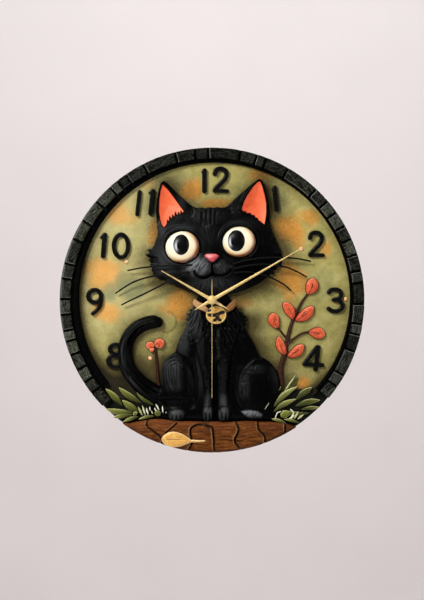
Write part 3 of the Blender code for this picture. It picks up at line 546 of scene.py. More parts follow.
# ============================================================ the cat's coat
def coat_material(name="cat_satin_black"):
    m = Mat(name)
    # Painted shade: the crease attribute darkens the coat in grooves, creases and round the paws. Painted highlights:
    # the lit attribute lightens it where light would catch.
    crease_shade = m.attr("crease_shade")
    n1 = m.noise(9, 4, 0.6)
    n2 = m.noise(1.1, 4, 0.65)
    base = m.ramp(m.range(n1, 0.3, 0.72), [(0, (0.0003, 0.0003, 0.0004)), (1, (0.0010, 0.0011, 0.0013))])
    lit = m.mix(m.math("MULTIPLY", m.range(n2, 0.52, 0.75), 0.15), base, (0.006, 0.006, 0.007))
    lit = m.mix(m.math("MULTIPLY", m.attr("lit"), m.range(n2, 0.25, 0.75, 0.7, 1.0)), lit, (0.066, 0.070, 0.071))
    lit = m.mix(m.range(m.attr("lit"), 1.2, 2.4), lit, (0.125, 0.135, 0.142))
    col = m.mix(m.math("MULTIPLY", crease_shade, 0.95, clamp=True), lit, (0.0006, 0.0006, 0.0007))
    rough = m.math("ADD", m.range(n2, 0.3, 0.7, 0.27, 0.37), m.math("MULTIPLY", crease_shade, 0.06))
    b = m.bump(m.math("ADD", m.math("MULTIPLY", n2, 0.6), m.noise(0.45, 3, 0.6)), 0.04)
    return m.done(col, rough, b, 0.042)


COAT = coat_material()

HEAD = [(-48.5, 119.4), (-46.6, 118.6), (-44.6, 117.2), (-39.9, 112.5), (-34.7, 107.0), (-29.5, 102.6), (-23.4, 96.8),
        (-18, 93.2), (-14, 92.2), (-10, 92.8), (-7, 92.0), (-3, 93.1), (1, 92.4), (5, 93.2), (9, 92.5), (13, 92.9),
        (15.6, 94.1), (20.8, 99.5), (26, 104.4), (32.9, 110.1), (39, 115.7), (44.2, 119.6), (47.5, 121.4),
        (50.3, 119.8), (52.4, 115.7), (55, 107), (56.8, 98.4), (57.9, 88), (57.6, 80), (58.6, 74.0), (60.7, 67.2),
        (62.6, 63.6), (64.2, 61.0), (63.9, 59.4), (66.7, 55.7), (66.4, 54.0), (69.3, 49.6), (68.8, 47.8), (70.9, 44.4),
        (69.6, 42.0), (70.6, 38.5), (69.2, 36.4), (70.2, 33.6), (65.4, 33.1), (65.0, 30.6), (60.6, 29.7), (62.8, 26.2),
        (58.4, 25.8), (56.9, 22.6), (54.5, 21.9), (47.6, 16.7), (39.8, 12.8), (32, 9.6), (24, 7.2), (14, 5.4), (0, 4.6),
        (-12, 5.6), (-24.5, 9.0), (-31.0, 11.8), (-35.2, 13.4), (-38.0, 15.6),
        (-44.8, 17.4), (-48.0, 19.6), (-54.2, 21.4), (-56.0, 23.6), (-59.2, 25.0), (-58.8, 27.6), (-61.2, 29.8),
        (-59.9, 32.0), (-62.2, 35.0), (-60.9, 37.2), (-63.6, 39.6), (-62.0, 42.0), (-67.0, 45.2), (-62.2, 47.0),
        (-65.0, 50.6), (-60.2, 51.6), (-57.6, 55.6), (-56.4, 60), (-54.4, 65.3), (-54.6, 71.7), (-55.7, 80.2), (-56.3, 89.8),
        (-55.3, 100.5), (-53.3, 111), (-51.2, 117.6)]
EAR_L = [(-49.6, 115.6), (-46.5, 112.8), (-43.7, 110), (-37.3, 101.5), (-32, 94), (-27.2, 87.6), (-28.8, 88.6),
         (-29.3, 86.4), (-31.2, 89.8), (-31.9, 85.4), (-33.8, 88.2), (-34.6, 84.2), (-36.9, 88.4), (-37.5, 83.0), (-39.6, 85.4), (-40.2, 81.2),
         (-42.6, 83.8), (-42.9, 78.8), (-44.8, 80.2), (-45.2, 76.4), (-47, 73.6), (-48.5, 72.6), (-50.4, 75.5), (-51.7, 80.2),
         (-53.0, 88.7), (-52.7, 99.4), (-51.6, 108)]
EAR_R = [(47.9, 119.0), (50.2, 114.2), (52.6, 105.3), (54.2, 96.7), (54.4, 88), (53.5, 80.2), (52.4, 75.2), (50.4, 76.8),
         (48.5, 78.5), (46.4, 79.6), (45.9, 81.6), (43.3, 82.6), (42.2, 84.8), (39.6, 85.0), (38.2, 87.0), (34.8, 86.8),
         (33.6, 88.6), (31.0, 88.7), (29.7, 91.3), (32, 98.4), (35.5, 105.3), (40.7, 112.9), (44.6, 117.2)]
EYES = [(-29.5, 52.8, 17.0, 15.9, -30.7, 55.1, 7.9, 10.3), (27.1, 58.0, 16.6, 15.3, 24.2, 59.1, 8.5, 10.6)]


def eye_height(X, Z, e):
    cx, cz, rx, rz = e[:4]
    k = ((X - cx) / (rx + 0.8)) ** 2 + ((Z - cz) / (rz + 0.8)) ** 2
    return 33.2 + 7.4 * np.sqrt(np.clip(1 - k, 0, 1))


def build_head():
    g = Grid(-69, 73, 3, 124, 0.48)
    X, Z = g.X, g.Z
    g.F = d = sd_poly(X, Z, HEAD)
    g.at["crease_shade"] = np.zeros_like(X)
    g.at["lit"] = np.zeros_like(X)
    # painted highlights: the lit attribute lightens the coat where light would catch the face
    for cx, cz, rx, rz, a in ((-15.0, 33.5, 10.5, 7.5, 3.0), (-47, 40, 12, 20, 0.55), (-6, 68, 9, 18, 0.12), (9, 31, 9, 6, 0.42), (-44, 20, 12, 7, 0.25), (-50, 70, 5, 12, 0.35),
                              (-8, 84, 16, 7, 0.22), (22, 94, 7, 12, 0.10), (-31, 96, 5, 11, 0.22), (0, 15, 20, 8, 0.40), (30, 76, 16, 6, 0.10), (-30, 71, 14, 5, 0.28)):
        g.at["lit"] = np.maximum(g.at["lit"], a * np.exp(-((X - cx) / rx) ** 2 - ((Z - cz) / rz) ** 2))
    # face mass: two cheeks, a brow and a tapering chin
    face = np.clip(1 - ((X - 1.5) / 70) ** 2 - ((Z - 50) / 50) ** 2, 0, 1)
    H = 30.2 + 7.6 * face ** 0.55
    ear = sstep(86, 102, Z + 0.10 * np.abs(X)) * sstep(12, 22, np.abs(X - 1))
    H = H * (1 - ear) + ear * 33.6
    H = np.minimum(H, 29.4 + rounded(d, 7.0, 9.5))
    # ears: raised lip round a hollow, the hollow darkened with painted shade
    for poly, s in ((EAR_L, 1), (EAR_R, 1)):
        e = sd_poly(X, Z, poly)
        lip = np.exp(-((e + 1.6) / 1.5) ** 2)
        H += 1.9 * lip * sstep(84, 92, Z)
        H = np.where(e > -0.45, np.minimum(H, 31.4), H)
        g.at["crease_shade"] = np.maximum(g.at["crease_shade"], 0.9 * (e > -0.9))
    # a fold from each ear down into the brow, darkened with painted shade
    g.H = H
    for pts in ([(-22, 94), (-20.5, 88), (-21.5, 83)], [(18, 94.5), (17.5, 90), (20.5, 86.5)]):
        g.line(pts, 1.6, -1.3, 0.5, "crease_shade")
    # eyelids: swollen ring, and a seat for the ball darkened with painted shade
    for e in EYES:
        cx, cz, rx, rz = e[:4]
        q = sd_ellipse(X, Z, cx, cz, rx, rz)
        brow = 0.8 + 0.5 * sstep(0, 14, Z - cz)
        g.H += 1.7 * brow * np.exp(-((q + 3.1) / 1.9) ** 2)
        g.H = smax(g.H, np.where(q > -9, 37.6 + 0.9 * brow - 0.25 * (q + 2.8) ** 2, 0), 0.8)
        g.H = np.where(q > -1.2, np.minimum(g.H, 33.0), g.H)
        g.at["crease_shade"] = np.maximum(g.at["crease_shade"], sstep(-1.9, -1.1, q))
    # tear corners toward the nose
    g.line([(-13.5, 49), (-10.5, 46.0)], 1.2, -1.0, 0.4, "crease_shade")
    # nose bridge
    g.H += 1.8 * np.exp(-((X + 1) / 5.5) ** 2) * sstep(44, 56, Z) * (1 - sstep(70, 88, Z))
    # muzzle and chin
    for cx, cz, rx, rz, top in ((-11.6, 32.2, 16.6, 11.4, 41.6), (11.2, 31.2, 12.6, 10.4, 41.4)):
        k = np.clip(1 - ((X - cx) / rx) ** 2 - ((Z - cz) / rz) ** 2, 0, 1)
        g.H = smax(g.H, np.where(k > 0, 33.5 + (top - 33.5) * k ** 0.42, 0), 0.6)
    k = np.clip(1 - ((X - 0.5) / 17) ** 2 - ((Z - 20.5) / 12.0) ** 2, 0, 1)
    g.H = smax(g.H, np.where(k > 0, 33.5 + 3.8 * k ** 0.8, 0), 1.5)
    k = np.clip(1 - ((X + 0.2) / 9.5) ** 2 - ((Z - 43.0) / 6.0) ** 2, 0, 1)
    g.H = smax(g.H, np.where(k > 0, 33.5 + 7.2 * k ** 0.5, 0), 0.8)
    # mouth lines: grooves filled with painted shade, with the painted highlight kept off them
    mouth = [spline([(0.2, 38.2), (0.0, 32), (0.5, 26.0)], 5),
             spline([(0.5, 26.2), (-1, 25.4), (-5, 23), (-9, 22.3), (-13, 23), (-16, 25), (-17.3, 28.4)], 5),
             spline([(0.5, 26.2), (1.4, 25.2), (5, 24.2), (10, 24.2), (15, 26.2), (18.5, 29.4)], 5)]
    for pts, w in zip(mouth, (0.9, 1.55, 1.45)):
        g.line(pts, w, -2.9, 0.12, "crease_shade", 3.0)
        g.at["lit"] *= 1 - np.exp(-(run_along(X, Z, pts)[0] / (w * 0.95)) ** 4)
    g.line([(-17.2, 27.4), (-17.9, 29.6)], 1.5, -1.4, 0.3, "crease_shade")
    g.line([(18.4, 28.6), (19.4, 30.4)], 1.3, -1.2, 0.3, "crease_shade")
    # forehead bars, grooves darkened with painted shade
    for x, zt, zb in ((-10.3, 88.5, 76.5), (-6.0, 90.0, 75.0), (-1.4, 90.2, 75.6), (3.0, 89.4, 77.0)):
        g.line([(x + 0.5, zt), (x, (zt + zb) / 2), (x + 0.5, zb)], 1.0, -2.1, 0.25, "crease_shade", 3.0)
    for x, zt, zb in ((-8.2, 73, 60), (-4.6, 75, 55), (-1.0, 74, 58), (2.4, 72, 62), (-6.0, 62, 50), (1.0, 60, 49)):
        g.line([(x, zt), (x + (0.6 if x > -3 else 1.4), (zt + zb) / 2), (x * 0.7 - 0.6, zb)], 0.7, -0.42, 0.6, "crease_shade")
    # fur combed outward from the nose, each stroke darkened with painted shade
    def flow(x, z):
        a = atan2(z - 44, x - 0.01)
        if z > 70:
            a = a * 0.4 + 0.6 * (pi / 2 + (0.35 if x < -12 else (-0.35 if x > 12 else 0)))
        return a

    def fur_here(x, z):
        if g.value(x, z, g.F) < 1.5 or z > 92 or z < 8:
            return False
        for e in EYES:
            if ((x - e[0]) / (e[2] + 6.5)) ** 2 + ((z - e[1]) / (e[3] + 6.5)) ** 2 < 1:
                return False
        return not (abs(x) < 25 and 17 < z < 47)

    g.fur(220, fur_here, flow, (6, 14), (0.35, 0.6), (0.05, 0.18), 11)
    g.fur(60, lambda x, z: abs(x + 9) < 14 and 22 < z < 40 and g.value(x, z, g.F) > 1,
          lambda x, z: radians(62), (5, 11), (0.3, 0.5), (0.04, 0.11), 12)
    g.fur(34, lambda x, z: abs(x - 10) < 11 and 22 < z < 39, lambda x, z: radians(118), (4, 9), (0.3, 0.5),
          (0.03, 0.09), 13)
    g.fur(60, lambda x, z: abs(x) < 15 and 9 < z < 22, lambda x, z: radians(-90 + x * 2), (4, 8), (0.4, 0.7),
          (0.1, 0.25), 14)
    # cheek tufts, grooves darkened with painted shade
    for cx, cz, n, a0, a1 in ((-58, 40, 16, 150, 215), (66, 42, 16, -45, 35), (-48, 24, 12, 195, 250), (56, 26, 10, -75, -20)):
        rng = np.random.default_rng(int(abs(cx) * 7))
        for k in range(n):
            a = radians(a0 + (a1 - a0) * k / (n - 1))
            s = rng.uniform(0.7, 1.2)
            x1, z1 = cx + 9 * s * cos(a), cz + 13 * s * sin(a)
            g.line([(cx - 5 * cos(a), cz + 4 * sin(a)), ((cx + x1) / 2, (cz + z1) / 2 + 0.8), (x1, z1)],
                   rng.uniform(0.5, 0.8), -rng.uniform(0.6, 1.2), 0.5, "crease_shade")
    g.H += 0.06 * g.noise(6, 1) + 0.02 * g.noise(1.4, 2)
    g.H = np.minimum(g.H, 42.2)
    use(relief("head", g, FACE), COAT, "cat", "cat_head")


build_head()


def build_inner_ears():
    m = Mat("ear_coral_paint")
    d = m.attr("edge")
    n = m.noise(5, 4, 0.6)
    col = m.ramp(m.range(m.attr("tone"), 0, 1), [(0, (0.52, 0.060, 0.016)), (0.45, (0.68, 0.105, 0.033)), (1, (0.80, 0.225, 0.115))])
    col = m.mix(m.math("MULTIPLY", m.range(n, 0.35, 0.7), 0.2), col, (0.82, 0.22, 0.10))
    # painted shade: darker at the lining's border, where the head's lip overhangs it
    col = m.mix(m.range(d, 0.8, 0.0), col, (0.20, 0.02, 0.01))
    m.done(col, m.range(m.noise(2.5, 3), 0.3, 0.7, 0.34, 0.5), m.bump(m.noise(1.3, 3), 0.05))
    for name, poly, node, cx in (("ear_lining_left", EAR_L, "inner_ear_left", -45), ("ear_lining_right", EAR_R, "inner_ear_right", 46)):
        P = np.array(poly)
        g = Grid(P[:, 0].min(), P[:, 0].max(), P[:, 1].min(), P[:, 1].max(), 0.34)
        g.F = sd_poly(g.X, g.Z, poly)
        w = 12.0
        hollow = np.clip(g.F / 9.0, 0, 1)
        g.H = 33.9 - 1.6 * hollow + 0.25 * g.noise(6, 5) * 0.3
        side = (g.X - cx) / w
        g.at["edge"] = np.clip(g.F, 0, 5)
        g.at["tone"] = np.clip(0.40 + 0.45 * side - 0.010 * (g.Z - 92), 0, 1)
        use(relief(name, g, 31.6), m.m, "ear_inner", node)


build_inner_ears()


def build_eyes():
    ball = Mat("eye_ivory_glaze")
    n = ball.noise(8, 4, 0.55)
    # painted shade on the ball: the shade attribute darkens it to tan and brown
    ball_shade = ball.attr("shade")
    col = ball.ramp(ball_shade, [(0, (0.80, 0.74, 0.58)), (0.3, (0.76, 0.64, 0.42)), (0.62, (0.62, 0.38, 0.16)), (0.85, (0.36, 0.15, 0.05)), (1, (0.16, 0.05, 0.018))])
    col = ball.mix(ball.math("MULTIPLY", ball.range(n, 0.4, 0.7), 0.15), col, (0.97, 0.93, 0.82))
    ball.done(col, ball.range(ball.noise(3, 3), 0.3, 0.7, 0.34, 0.46), ball.bump(ball.noise(2.2, 3), 0.03), 0.3)
    pup = Mat("pupil_black_gloss")
    c = pup.ramp(pup.range(pup.noise(3, 3), 0.3, 0.7), [(0, (0.0012, 0.0012, 0.0015)), (1, (0.003, 0.003, 0.0035))])
    c = pup.mix(pup.attr("glint"), c, (0.62, 0.64, 0.68))
    pup.done(c, pup.range(pup.noise(2, 2), 0.3, 0.7, 0.26, 0.34), pup.bump(pup.noise(1.5, 2), 0.02), 0.08)
    for e, side in zip(EYES, ("left", "right")):
        cx, cz, rx, rz, px, pz, pw, ph = e
        g = Grid(cx - rx, cx + rx, cz - rz, cz + rz, 0.34)
        g.F = sd_ellipse(g.X, g.Z, cx, cz, rx, rz)
        if side == "left":
            g.F = np.maximum(g.F, sd_line(g.X, g.Z, [(-16, 49.5), (-12.2, 47.2)], [2.2, 0.5]))
        g.H = eye_height(g.X, g.Z, e)
        u, v = (g.X - cx) / rx, (g.Z - cz) / rz
        lean = 0.62 * u - 0.42 * v if side == "left" else 0.42 * u - 0.45 * v
        rr = np.sqrt(u * u + v * v)
        # painted shade: darker toward the rim of the ball, most toward its lower right
        g.at["shade"] = np.clip(0.12 + 0.80 * np.clip(lean, -0.3, 1) * rr ** 1.4 + 0.90 * sstep(0.66, 1.0, rr) * (0.62 + 0.62 * lean), 0, 1)
        use(relief("eyeball_" + side, g, 32.0), ball.m, "eyes", "eye_" + side)
        p = Grid(px - pw, px + pw, pz - ph, pz + ph, 0.24)
        p.F = sd_ellipse(p.X, p.Z, px, pz, pw, ph)
        k = np.clip(1 - ((p.X - px) / pw) ** 2 - ((p.Z - pz) / ph) ** 2, 0, 1)
        p.H = eye_height(p.X, p.Z, e) + 0.05 + 1.25 * k ** 0.5
        gx, gz = (-35.3, 53.4) if side == "left" else (18.4, 57.6)
        gl = ((p.X - gx) / 2.1) ** 2 + ((p.Z - gz) / 4.3) ** 2
        cut = ((p.X - (gx + 2.2)) / 2.0) ** 2 + ((p.Z - (gz + 1.2)) / 5.0) ** 2
        p.at["glint"] = np.exp(-gl ** 1.3) * sstep(0.5, 1.3, cut) * 0.8
        use(relief("pupil_" + side + "_dome", p, 36.0), pup.m, "pupils", "pupil_" + side)


build_eyes()


def build_nose():
    m = Mat("nose_pink_satin")
    n = m.noise(2.5, 4, 0.6)
    col = m.ramp(m.range(m.attr("tone"), 0, 1), [(0, (0.30, 0.026, 0.036)), (0.5, (0.52, 0.075, 0.085)), (1, (0.88, 0.38, 0.36))])
    col = m.mix(m.math("MULTIPLY", m.range(n, 0.4, 0.7), 0.25), col, (0.8, 0.2, 0.22))
    m.done(col, m.range(m.noise(1.5, 3), 0.3, 0.7, 0.28, 0.42), m.bump(m.noise(0.8, 3), 0.04))
    poly = spline([(-7.3, 43.6), (-5.8, 45.5), (-2.5, 46.0), (2.5, 45.9), (5.4, 45.2), (6.6, 43.3), (4.4, 40.6), (1.6, 38.2),
                   (0.1, 37.7), (-1.6, 38.4), (-4.8, 41.0)], 6, True)
    g = Grid(-9, 8, 36, 47, 0.2)
    g.F = sd_poly(g.X, g.Z, poly)
    g.H = 39.4 + rounded(g.F, 3.2, 3.1)
    # tone: a painted highlight at the upper left of the nose, and lighter toward the top
    g.at["tone"] = np.clip(0.25 + 0.55 * np.exp(-((g.X + 2.6) / 3.2) ** 2 - ((g.Z - 43.2) / 1.6) ** 2)
                           + 0.25 * sstep(39, 46, g.Z), 0, 1)
    use(relief("nose_tip", g, 37.0), m.m, "nose", "nose")


build_nose()


# ============================================================ the cat's body
BODY = [(-12, 8.5), (-14.5, 3), (-18, -4), (-19.5, -8.5), (-23.5, -9.5), (-21.2, -12.6), (-26.6, -13.8), (-22.4, -16.8),
        (-27.0, -19.0), (-22.8, -20.6), (-26.2, -24.2), (-25.8, -26.4), (-29.5, -32.3), (-32.8, -39.6), (-35.3, -47),
        (-36.6, -51.8), (-40.5, -54.3), (-46.3, -58.7), (-49.6, -63.8), (-50.9, -70.4), (-50.9, -77.7), (-50.4, -84.3),
        (-53.5, -88.5), (-58.0, -93), (-60, -99), (-60.5, -108), (-59, -121.6), (63.5, -121.8), (66.5, -112), (68.5, -100),
        (69.0, -90), (68.8, -83), (67, -76), (64.6, -71.0), (61.5, -66.0), (57.2, -61.5), (52, -58.2), (47.4, -56.3),
        (45.9, -52.8), (43.3, -45.9), (39.9, -39.8), (35.5, -32.9), (32.6, -26.4), (35.2, -24.8), (32.8, -22.8),
        (36.0, -20.0), (32.4, -19.2), (34.8, -15.6), (31.0, -15.4), (30.8, -12.4), (27.0, -11.6), (25.0, -8), (21, -3), (17, 3),
        (14, 8.5)]
LEG_L = [(-21.5, -24), (-20.7, -30.8), (-17, -44), (-13.3, -58.7), (-10.4, -69.7), (-8.2, -80.7), (-6.9, -91.7), (-6.2, -102.7),
         (-6.2, -108), (-0.6, -108), (-0.2, -92), (0.8, -72), (1.8, -56), (3, -24)]
LEG_R = [(3, -24), (4.6, -56), (5.6, -72), (6.4, -92), (6.6, -108), (16.6, -108), (16.0, -92), (17.6, -74), (20.5, -58), (25.5, -44),
         (30, -32), (30, -24)]


def build_body():
    g = Grid(-64, 73, -123, 10, 0.48)
    X, Z = g.X, g.Z
    g.F = d = sd_poly(X, Z, BODY)
    g.at["crease_shade"] = np.zeros_like(X)
    g.at["lit"] = np.zeros_like(X)
    # painted highlights: the lit attribute lightens the coat where light would catch it
    for cx, cz, rx, rz, a in ((-4.0, -103, 3.6, 10, 0.62), (11.4, -103, 4.0, 10, 0.62), (-19, -22, 8, 15, 0.62), (-41, -69, 9, 14, 0.50),
                              (31, -86, 6, 12, 0.22), (-29, -40, 6, 14, 0.32), (-39, -82, 8, 8, 0.30), (-12, -62, 4, 30, 0.20), (11, -80, 4, 20, 0.16), (-17, -24, 8, 12, 0.16),
                              (40, -69, 12, 4, 0.12)):
        g.at["lit"] = np.maximum(g.at["lit"], a * np.exp(-((X - cx) / rx) ** 4 - ((Z - cz) / rz) ** 4))
    H = 29.4 + rounded(d, 8.0, 4.0)
    # chest and shoulders
    chest = np.clip(1 - ((X - 4) / 36) ** 2 - ((Z + 30) / 50) ** 2, 0, 1)
    H = smax(H, np.where(chest > 0, 29.5 + 6.0 * chest ** 0.5, 0), 1.0)
    # flanks
    for cx, cz, rx, rz, t, top in ((-24, -42, 13, 27, -22, 34.6), (35, -44, 13, 28, 24, 34.4)):
        a = radians(t)
        u, v = (X - cx) * cos(a) + (Z - cz) * sin(a), -(X - cx) * sin(a) + (Z - cz) * cos(a)
        k = np.clip(1 - (u / rx) ** 2 - (v / rz) ** 2, 0, 1)
        H = smax(H, np.where(k > 0, 29.5 + (top - 29.5) * k ** 0.5, 0), 0.9)
    # haunches
    for cx, cz, rx, rz, top, t in ((-33.5, -86, 18.0, 31, 37.0, 4), (47.5, -89, 21.5, 31, 36.6, -4)):
        a = radians(t)
        u, v = (X - cx) * cos(a) + (Z - cz) * sin(a), -(X - cx) * sin(a) + (Z - cz) * cos(a)
        k = np.clip(1 - (u / rx) ** 2 - (v / rz) ** 2, 0, 1)
        H = smax(H, np.where(k > 0, 29.0 + (top - 29.0) * k ** 0.45, 0), 0.5)
    # inner hollow between the legs
    g.H = H
    g.H -= 3.0 * np.exp(-((X - 3.0) / 4.0) ** 4) * sstep(-56, -72, Z)
    for poly, top in ((LEG_L, 38.4), (LEG_R, 38.0)):
        e = sd_poly(X, Z, poly)
        w = np.interp(-Z, [24, 60, 100], [9, 6.5, 4.6])
        t = np.clip(e / w, 0, 1)
        leg = 30.5 + (top - 30.5) * np.sqrt(np.clip(1 - (1 - t) ** 2, 0, 1))
        g.H = smax(g.H, np.where(e > 0, leg, 0), 0.35)
    # paws, each with a painted highlight toward its upper left and painted shade round its edge
    g.at["lit"] = np.where((Z < -106) & ((X < -18) | (X > 20)), 0, g.at["lit"])
    for cx, cz, rx, rz, top, toes in ((-4.0, -114.0, 5.4, 8.4, 39.2, (-5.4, -2.6)), (12.0, -114.2, 6.2, 8.4, 39.2, (10.0, 13.8)),
                                      (-35.2, -115.4, 8.6, 6.6, 38.6, (-39.0, -35.4, -31.8))):
        k = np.clip(1 - np.abs((X - cx) / rx) ** 2.6 - np.abs((Z - cz) / rz) ** 2.6, 0, 1)
        g.H = smax(g.H, np.where(k > 0, 30.5 + (top - 30.5) * k ** 0.38, 0), 0.4)
        paw_highlight = 1.00 * k ** 0.7 * np.clip(0.62 + 0.6 * (Z - cz) / rz - 0.30 * (X - cx) / rx, 0, 1.1)
        g.at["lit"] = np.where(k > 0, np.maximum(paw_highlight, g.at["lit"]), g.at["lit"])
        g.at["crease_shade"] = np.where(k > 0, np.clip(0.9 - 3 * k, 0, 1), g.at["crease_shade"])
        for x in toes:
            lean = (x - cx) * 0.3
            g.line([(x, cz + rz * 0.2), (x + lean, cz - rz * 0.85)], 0.75, -1.9, 0.4, "crease_shade")
    # the gap between the left haunch and its paw, sunk and filled with painted shade
    shaded_gap = np.exp(-((X + 37) / 19) ** 4 - ((Z + 103.5) / 5.0) ** 4)
    g.H -= 2.6 * shaded_gap
    g.at["crease_shade"] = np.maximum(g.at["crease_shade"], 0.95 * shaded_gap)
    # right hind paw, a long wedge, with a painted highlight along its top
    e = sd_poly(X, Z, [(27.2, -110.6), (36, -108.8), (46, -110.2), (51.6, -114.0), (51.2, -119.8), (41, -120.6), (33.5, -117.4)])
    g.H = smax(g.H, np.where(e > 0, 32.5 + rounded(e, 3.4, 6.9), 0), 0.4)
    top = sstep(-118.5, -111.5, Z) * sstep(0.2, 1.8, e) * (1 - 0.45 * sstep(43, 51, X)) * (1 - 0.3 * sstep(34, 28, X))
    g.at["lit"] = np.where(e > 0, 2.5 * top, g.at["lit"])
    g.line([(42, -119.6), (46.5, -116)], 0.7, -1.3, 0.4, "crease_shade")
    g.line([(46.0, -119.8), (49.4, -117)], 0.7, -1.2, 0.4, "crease_shade")
    # crease lines that separate the masses, darkened with painted shade
    creases = [spline([(-36.6, -51.5), (-30, -56), (-24, -58.6), (-18, -60)], 5),
               spline([(-21.5, -27), (-20.9, -31), (-17.2, -44), (-13.5, -58.7), (-10.6, -69.7), (-8.4, -81), (-7.0, -92), (-6.4, -104)], 4),
               spline([(-18, -60), (-15.5, -72), (-14.5, -86), (-16, -100), (-22, -108)], 5),
               spline([(47, -57), (39, -61), (31, -69), (26.8, -78), (25.6, -89), (27.5, -101), (32, -108)], 5),
               spline([(3.4, -60), (3.0, -80), (3.0, -118)], 4),
               spline([(20.5, -58), (17.8, -74), (16.6, -92), (17.2, -106)], 4)]
    for pts, w, a in zip(creases, (1.3, 0.9, 1.2, 1.2, 1.6, 1.1), (-1.8, -1.3, -1.4, -1.4, -2.4, -1.4)):
        g.line(pts, w, a, 0.3, "crease_shade")
    # chest ruff: locks that fall from the collar
    rng = np.random.default_rng(21)
    for row, (z0, n, L) in enumerate(((-9, 15, 13), (-16, 14, 14), (-24, 11, 15), (-33, 8, 13))):
        for k in range(n):
            u = (k + 0.5) / n * 2 - 1
            x = 4 + u * (26 - 2.5 * row)
            z = z0 - 3.5 * (1 - u * u) + rng.normal(0, 1.2)
            a = radians(-90 + 34 * u + rng.normal(0, 8))
            q = [(x, z), (x + 0.5 * L * cos(a) + 0.6, z + 0.5 * L * sin(a)), (x + L * cos(a * 1.0), z + L * sin(a))]
            g.line(q, rng.uniform(0.7, 1.0), -rng.uniform(0.9, 1.5), 0.5, "crease_shade")
            q2 = [(p[0] + 1.5, p[1] - 0.6) for p in q]
            g.line(q2, 0.9, rng.uniform(0.35, 0.6), 0.6)
    # long sweeping grooves on the haunches, darkened with painted shade
    for q, w, a in (([(-47.0, -65), (-48.6, -74), (-47.4, -84), (-43.5, -93)], 0.9, -1.1), ([(-44.8, -63.5), (-46.2, -72), (-45.0, -82), (-40.5, -94), (-36, -100)], 1.0, -1.3),
                    ([(-41.8, -64), (-43.4, -70), (-43.0, -77), (-41.0, -84)], 0.8, -0.9), ([(-40.0, -62.5), (-41.0, -72), (-39.0, -83), (-35.0, -94)], 0.9, -1.1),
                    ([(-37.6, -65), (-38.2, -74), (-36.2, -84), (-32.6, -92)], 0.8, -0.8), ([(-34.6, -64.5), (-35.4, -72), (-34.0, -80)], 0.7, -0.6),
                    ([(-31.6, -66), (-31.8, -76), (-30.0, -86)], 0.6, -0.45),
                    ([(-48.0, -63.0), (-42.5, -58.4), (-36, -57.4), (-30, -59.6)], 0.9, -1.0), ([(-45.5, -65.5), (-41.5, -61.6), (-36, -60.2), (-30.5, -62.2)], 0.8, -0.9),
                    ([(-41, -66.8), (-37.5, -64.0), (-33.0, -63.4)], 0.7, -0.7), ([(-48.8, -78), (-47.2, -88), (-43.6, -97)], 0.7, -0.7),
                    ([(-30, -70), (-31, -64.5), (-27.6, -61.4)], 0.7, -0.6), ([(-44.6, -60.2), (-39.2, -56.6), (-34.0, -56.4)], 0.6, -0.6)):
        g.line(spline(q, 5), w, a, 0.5, "crease_shade")
    # painted highlight streaks along the legs' left edges
    for poly, amt in ((LEG_L[:8], 0.46), (list(reversed(LEG_R[:5])), 0.30)):
        d_edge = run_along(X, Z, poly)[0]
        streak = 0.65 + 0.35 * g.noise(2.2, 91)
        g.at["lit"] = np.maximum(g.at["lit"], amt * streak * np.exp(-((d_edge - 2.4) / 1.9) ** 2) * (sd_poly(X, Z, LEG_L if amt > 0.4 else LEG_R) > 0))
    for q, w, a in (([(30, -71), (37, -70.6), (45, -71.6), (52, -70.4)], 0.9, -0.7), ([(29.6, -80), (31.2, -82.6), (33.6, -80.6), (36.6, -82.4)], 0.6, -0.7),
                    ([(28.4, -84), (30.0, -88), (29.8, -93), (32.4, -97)], 0.6, -0.6), ([(32, -85.4), (34.0, -89), (33.6, -93.6)], 0.6, -0.5),
                    ([(35.4, -72.6), (38.0, -78), (38.4, -84)], 0.7, -0.35), ([(41, -66), (49, -63.6), (56, -64.4)], 0.9, -0.5)):
        g.line(spline(q, 5), w, a, 0.5, "crease_shade")
    rp = g.noise(1.6, 9)
    g.H += 0.16 * rp * np.exp(-((X - 32.5) / 5) ** 2 - ((Z + 88) / 8) ** 2)
    # long lines down the forelegs, darkened with painted shade
    for k in range(7):
        g.line(spline([(-17 + 2.6 * k, -34), (-12.5 + 1.9 * k, -56), (-7.5 + 0.95 * k, -80), (-5.2 + 0.62 * k, -101)], 5), 0.55, -0.5, 0.7, "crease_shade")
    for k in range(7):
        g.line(spline([(8 + 2.8 * k, -36), (8 + 1.9 * k, -58), (8.2 + 1.2 * k, -80), (8.6 + 1.1 * k, -101)], 5), 0.55, -0.42, 0.7, "crease_shade")

    def flow(x, z):
        return radians(-90) + (0.35 if x < -20 else (-0.35 if x > 30 else 0.02 * (x - 4)))

    g.fur(300, lambda x, z: g.value(x, z, g.F) > 1.0 and z < -10, flow, (5, 12), (0.35, 0.6), (0.08, 0.24), 22)
    # pitted texture of the upper arm
    pit = g.noise(1.3, 7)
    g.H += 0.14 * pit * np.exp(-((X + 27) / 6) ** 2 - ((Z + 40) / 12) ** 2)
    g.H += 0.14 * pit * np.exp(-((X - 14) / 7) ** 2 - ((Z + 70) / 22) ** 2)
    g.H += 0.06 * g.noise(6, 8) + 0.015 * pit
    # clear room round the shaft's nut
    r = np.hypot(X, Z)
    g.F = np.minimum(g.F, r - 7.6)
    # nothing under the chin may reach the hands
    g.H = np.minimum(g.H, 39.6)
    under = sd_poly(X, Z, HEAD)
    g.H = np.where(under > -0.5, np.minimum(g.H, 30.0), g.H)
    use(relief("body", g, FACE), COAT, "cat", "cat_body")


build_body()

TAIL = spline([(-54.6, -22.2, 5.6), (-57.5, -22.0, 6.7), (-61, -22.3, 6.9), (-68, -24.3, 7.0), (-75, -28, 7.1), (-81, -34, 7.2),
               (-85, -41, 7.3), (-86.8, -49, 7.4), (-86.8, -57, 7.5), (-85.3, -66, 7.8), (-81, -74, 8.1), (-75, -81, 8.6),
               (-68, -87.5, 9.4), (-59, -94, 10.6), (-50, -99, 11.0)], 5)


